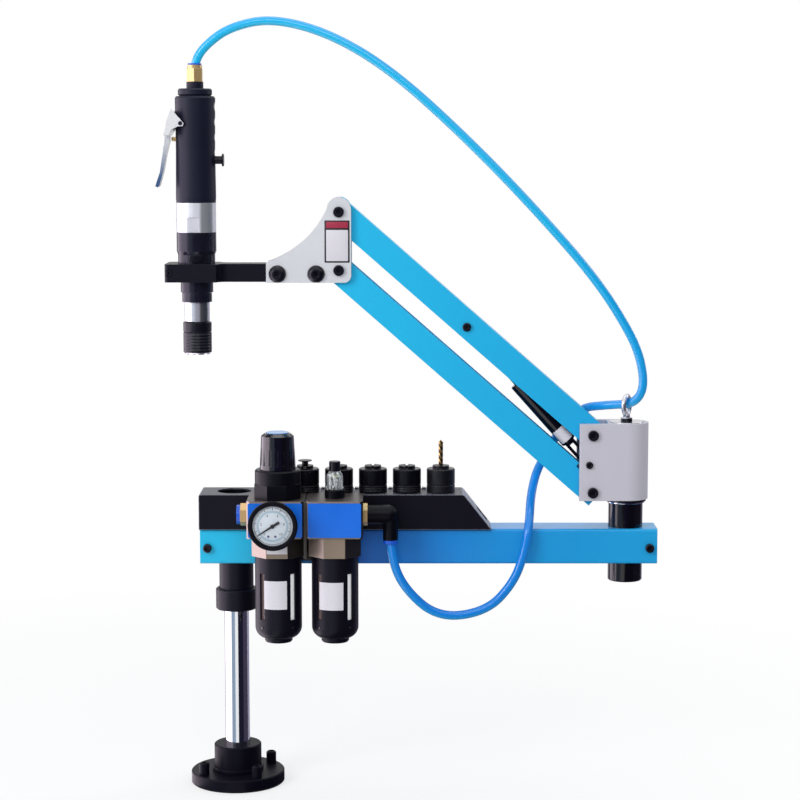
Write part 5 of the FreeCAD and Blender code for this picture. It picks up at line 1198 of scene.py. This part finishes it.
class SmallRings(bpy.types.Operator):
    """The bright ring under the turret and the blue ring that locks the hose at the motor"""

    bl_idname = "tapping.small_rings"
    bl_label = "Small rings"

    def execute(self, context):
        tall = 2.0 * MM
        post = middle("pivot_post")
        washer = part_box("thrust_washer")[0].z
        bright = ring("turret_ring", (post.x, post.y, washer - tall / 2), 21.6 * MM, 19.7 * MM, tall)
        settle(bright, "turret", "Chrome plate")
        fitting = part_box("inlet_fitting")[1].z
        spot = (middle("inlet_fitting").x, 0, fitting + tall / 2)
        lock = ring("motor_lock_ring", spot, 7.6 * MM, 5.15 * MM, tall)
        settle(lock, "head", "Blue moulding")
        return {"FINISHED"}


class HubFoot(bpy.types.Operator):
    """The low ring round the foot of the base's hub"""

    bl_idname = "tapping.hub_foot"
    bl_label = "Hub foot"

    def execute(self, context):
        x, y, _ = middle("column")
        height = context.scene.tapping_sizes.flange_thick + 2.4 * MM
        foot = ring("hub_foot", (x, y, height), 29.2 * MM, 26.8 * MM, 5.0 * MM, steps=ROUND)
        settle(foot, "stand", "Base black")
        return {"FINISHED"}


class NeckBoss(bpy.types.Operator):
    """The half round boss on the gearbox's neck, cut off level under its shoulder"""

    bl_idname = "tapping.neck_boss"
    bl_label = "Neck boss"

    def execute(self, context):
        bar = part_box("holder_bar")[1].z
        centre = (middle("inlet_fitting").x + 0.7 * MM, -19.9 * MM, bar + 7.5 * MM)
        boss = disc("neck_boss", centre, 7.2 * MM, 3.0 * MM, FACING, 64, 0.25)
        edit(boss, all_of_it=True)
        bpy.ops.mesh.bisect(plane_co=(0, 0, bar + 9.7 * MM), plane_no=(0, 0, 1),
                            use_fill=True, clear_outer=True)
        done()
        settle(boss, "head", "Blackened steel")
        return {"FINISHED"}


class StudCollet(bpy.types.Operator):
    """The driver with a flat head that stands in the second parked collet"""

    bl_idname = "tapping.stud_collet"
    bl_label = "Stud in the second collet"

    def execute(self, context):
        x, y, _ = middle("tap_collet_2")
        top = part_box("tap_collet_2")[1].z
        stem = disc("stud_stem", (x, y, top + 1.8 * MM), 3.6 * MM, 6.4 * MM, steps=40)
        head = disc("stud_head", (x, y, top + 5.4 * MM), 7.8 * MM, 1.2 * MM, edge=0.35)
        settle(joined("collet_stud", [stem, head]), "collet_2", "Blackened steel")
        return {"FINISHED"}


class ColletCores(bpy.types.Operator):
    """The spring centres that stand in the bores of the empty parked collets"""

    bl_idname = "tapping.collet_cores"
    bl_label = "Collet cores"

    def execute(self, context):
        x, y, _ = middle("tap_collet_1")
        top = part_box("tap_collet_1")[1].z
        core = disc("collet_core_1", (x, y, top - 2.2 * MM), 3.4 * MM, 3.4 * MM, steps=40)
        sink_top(core, 1.4 * MM, 0.8 * MM)
        cores = {1: core}
        for i in (3, 4, 5):
            cores[i] = copied(core, f"collet_core_{i}", middle(f"tap_collet_{i}").x - x)
        for i, piece in cores.items():
            settle(piece, f"collet_{i}", "Blackened steel")
        return {"FINISHED"}


class SightBead(bpy.types.Operator):
    """The drip tube and the bead of oil inside the sight dome"""

    bl_idname = "tapping.sight_bead"
    bl_label = "Sight bead"

    def execute(self, context):
        x, y, _ = middle("sight_dome")
        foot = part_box("sight_dome")[0].z
        tube = disc("drip_tube", (x, y, foot + 7.0 * MM), 2.2 * MM, 8.0 * MM, steps=36, edge=0.1)
        settle(tube, "arm", "Chrome plate")
        bead = begin("oil_bead", bpy.ops.mesh.primitive_uv_sphere_add, segments=32, ring_count=20,
                     radius=3.4 * MM, location=(x, y, foot + 13.2 * MM))
        edit(bead)
        choose(bead, "verts", lambda point: point.co.z < -1.5 * MM)
        bpy.ops.transform.resize(value=(0.8, 0.8, 1))
        done()
        settle(bead, "arm", "Sight oil", 80)
        return {"FINISHED"}


class Finishes(bpy.types.Operator):
    """Gives every node of the frame its finish"""

    bl_idname = "tapping.finishes"
    bl_label = "Finishes"

    def execute(self, context):
        bare = set(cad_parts)
        for look, (_, _, nodes) in LOOKS.items():
            for node in nodes.split():
                bare.remove(node)
                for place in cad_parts[node].material_slots:
                    place.material = finish(look)
        if bare:
            raise RuntimeError(f"no finish for {sorted(bare)}")
        return {"FINISHED"}


# ---------------------------------------------------------------- studio

LENS = 97.97
SENSOR = 36
CAMERA_PLACE = (0.18711, -2.45, 0.735)
CAMERA_PITCH = 6.8
AIM = Vector((0.2, 0.0, 0.45))
WHITE = (1, 1, 1)

# each soft box: its name, place, width, height and power
LAMPS = (
    ("key_box", (-1.7, -2.0, 1.5), 1.3, 1.7, 34),
    ("front_box", (0.3, -2.9, 1.9), 1.6, 1.0, 15),
    ("top_box", (0.2, 0.3, 2.4), 1.6, 1.2, 7),
    ("rim_box", (1.9, 0.9, 1.1), 0.5, 1.4, 6),
)

CARD_REACH = 2.2
CARD_TALL = 1.6

# each card: its name, its first and last degrees round from the front toward the turret, its
# colour and its strength
CARDS = (
    ("blue_card", -46, -14, shade(150, 168, 190), 1.0),
    ("dark_card", 15, 62, shade(30, 29, 46), 1.0),
    ("dusk_card", 62, 118, shade(66, 60, 80), 1.0),
    ("edge_card", -168, -137, shade(150, 140, 158), 1.0),
    ("far_card", 120, 160, shade(150, 146, 170), 1.0),
    ("left_card", -135, -54, shade(255, 240, 255), 3.0),
)


def lamp(name, place, wide, tall, power):
    """A soft box that faces the machine."""
    light = bpy.data.lights.new(name, "AREA")
    light.shape = "RECTANGLE"
    light.size, light.size_y = wide, tall
    light.energy = power
    thing = bpy.data.objects.new(name, light)
    thing.location = place
    thing.rotation_mode = "QUATERNION"
    thing.rotation_quaternion = (AIM - Vector(place)).to_track_quat("-Z", "Y")
    bpy.context.scene.collection.objects.link(thing)


def glow(f, tone, strength):
    return f.node("ShaderNodeEmission", None, {"Color": (*tone, 1), "Strength": strength})


def mirrored_only(piece, tone, strength):
    """Makes a card that only shiny surfaces see."""
    f = Finish(piece.name)
    piece.data.materials.append(f.close(glow(f, tone, strength)))
    for sight in ("camera", "diffuse", "shadow", "transmission"):
        setattr(piece, f"visible_{sight}", False)


def card(name, first, last, tone, strength):
    """A card from the column's foot out over the floor and up, open at the top."""
    middle_height = CARD_TALL / 2
    piece = begin(name, bpy.ops.mesh.primitive_cylinder_add, vertices=180, radius=CARD_REACH,
                  depth=CARD_TALL, end_fill_type="TRIFAN", location=(0, 0, middle_height + 2 * MM))
    keep_between(piece, first, last, highest=middle_height - 10 * MM)
    mirrored_only(piece, tone, strength)


def seen_rays(f):
    """1 for what the camera sees, straight or in gloss and glass."""
    parts = f.node("ShaderNodeLightPath").socket.node.outputs
    straight, gloss, glass = (
        Link(f, parts[f"Is {kind} Ray"]) for kind in ("Camera", "Glossy", "Transmission")
    )
    return (straight + gloss + glass).clamped()


def pale_floor():
    """White where it is seen far off, and lit near the machine so that it keeps the shadow."""
    f = Finish("Pale floor")
    at = f.node("ShaderNodeTexCoord", out="Object")
    far = f.node("ShaderNodeVectorMath", {"operation": "LENGTH"}, {0: at}, out="Value")
    near = (1.25 - far * 1.1).clamped()
    lit = f.node("ShaderNodeBsdfDiffuse", None, {"Color": (0.42, 0.42, 0.42, 1)})
    both = f.node("ShaderNodeAddShader", None, {0: lit, 1: glow(f, WHITE, 0.62)})
    shown = f.node("ShaderNodeMixShader", None, {0: near, 1: glow(f, WHITE, 1.0), 2: both})
    plain = f.node("ShaderNodeBsdfDiffuse", None, {"Color": (0.6, 0.6, 0.6, 1)})
    return f.close(f.node("ShaderNodeMixShader", None, {0: seen_rays(f), 1: plain, 2: shown}))


def white_surround():
    """A world that looks white and lights the machine softly."""
    w = Finish("surround", "worlds")
    soft = w.node("ShaderNodeBackground", None, {"Color": (0.93, 0.96, 1, 1), "Strength": 0.5})
    white = w.node("ShaderNodeBackground", None, {"Color": (*WHITE, 1), "Strength": 1.0})
    mixed = w.node("ShaderNodeMixShader", None, {0: seen_rays(w), 1: soft, 2: white})
    w.node("ShaderNodeOutputWorld", None, {"Surface": mixed})
    return w.material


class Studio(bpy.types.Operator):
    """The camera, the pale floor, the soft boxes and the white surround"""

    bl_idname = "tapping.studio"
    bl_label = "Studio"

    def execute(self, context):
        scene = context.scene
        scene.view_settings.view_transform = "Standard"
        data = bpy.data.cameras.new("camera")
        data.lens = LENS
        data.sensor_width = SENSOR
        data.clip_end = 60
        camera = bpy.data.objects.new("camera", data)
        camera.location = CAMERA_PLACE
        camera.rotation_euler = (math.radians(90 - CAMERA_PITCH), 0, 0)
        scene.collection.objects.link(camera)
        scene.camera = camera
        floor = begin("floor", bpy.ops.mesh.primitive_plane_add, size=30, location=(0, 0, 0))
        floor.data.materials.append(pale_floor())
        scene.world = white_surround()
        for row in LAMPS:
            lamp(*row)
        for row in CARDS:
            card(*row)
        screen = begin("front_card", bpy.ops.mesh.primitive_plane_add, size=1,
                       location=(0.2, -1.5, 0.6), rotation=FACING)
        screen.scale = (1.3, 1.2, 1)
        mirrored_only(screen, shade(44, 42, 92), 1.0)
        return {"FINISHED"}


# ---------------------------------------------------------------- the add-on

STEPS = (
    Studio, AirHose, Finishes, GaugeDial, BowlLabels, SkirtLabel, HeadLabel, SpringLabel,
    TrayScrews, KnobCap, SmallRings, HubFoot, NeckBoss, StudCollet, ColletCores, SightBead,
)


class TappingPanel(bpy.types.Panel):
    """Lists the machine's pieces in the sidebar"""

    bl_idname = "VIEW3D_PT_tapping"
    bl_label = "Tapping machine"
    bl_space_type = "VIEW_3D"
    bl_region_type = "UI"
    bl_category = "Tapping machine"

    def draw(self, context):
        for group in (context.scene.tapping_sizes, context.scene.tapping_colours):
            for name in group.__annotations__:
                self.layout.prop(group, name)
        for step in STEPS:
            self.layout.operator(step.bl_idname)


CLASSES = (TappingSizes, TappingColours, *STEPS, TappingPanel)


def register():
    for thing in CLASSES:
        bpy.utils.register_class(thing)
    bpy.types.Scene.tapping_sizes = PointerProperty(type=TappingSizes)
    bpy.types.Scene.tapping_colours = PointerProperty(type=TappingColours)


def unregister():
    del bpy.types.Scene.tapping_colours
    del bpy.types.Scene.tapping_sizes
    for thing in reversed(CLASSES):
        bpy.utils.unregister_class(thing)


def main():
    register()
    for step in STEPS:
        group, name = step.bl_idname.split(".")
        getattr(getattr(bpy.ops, group), name)()


if __name__ == "__main__":
    main()
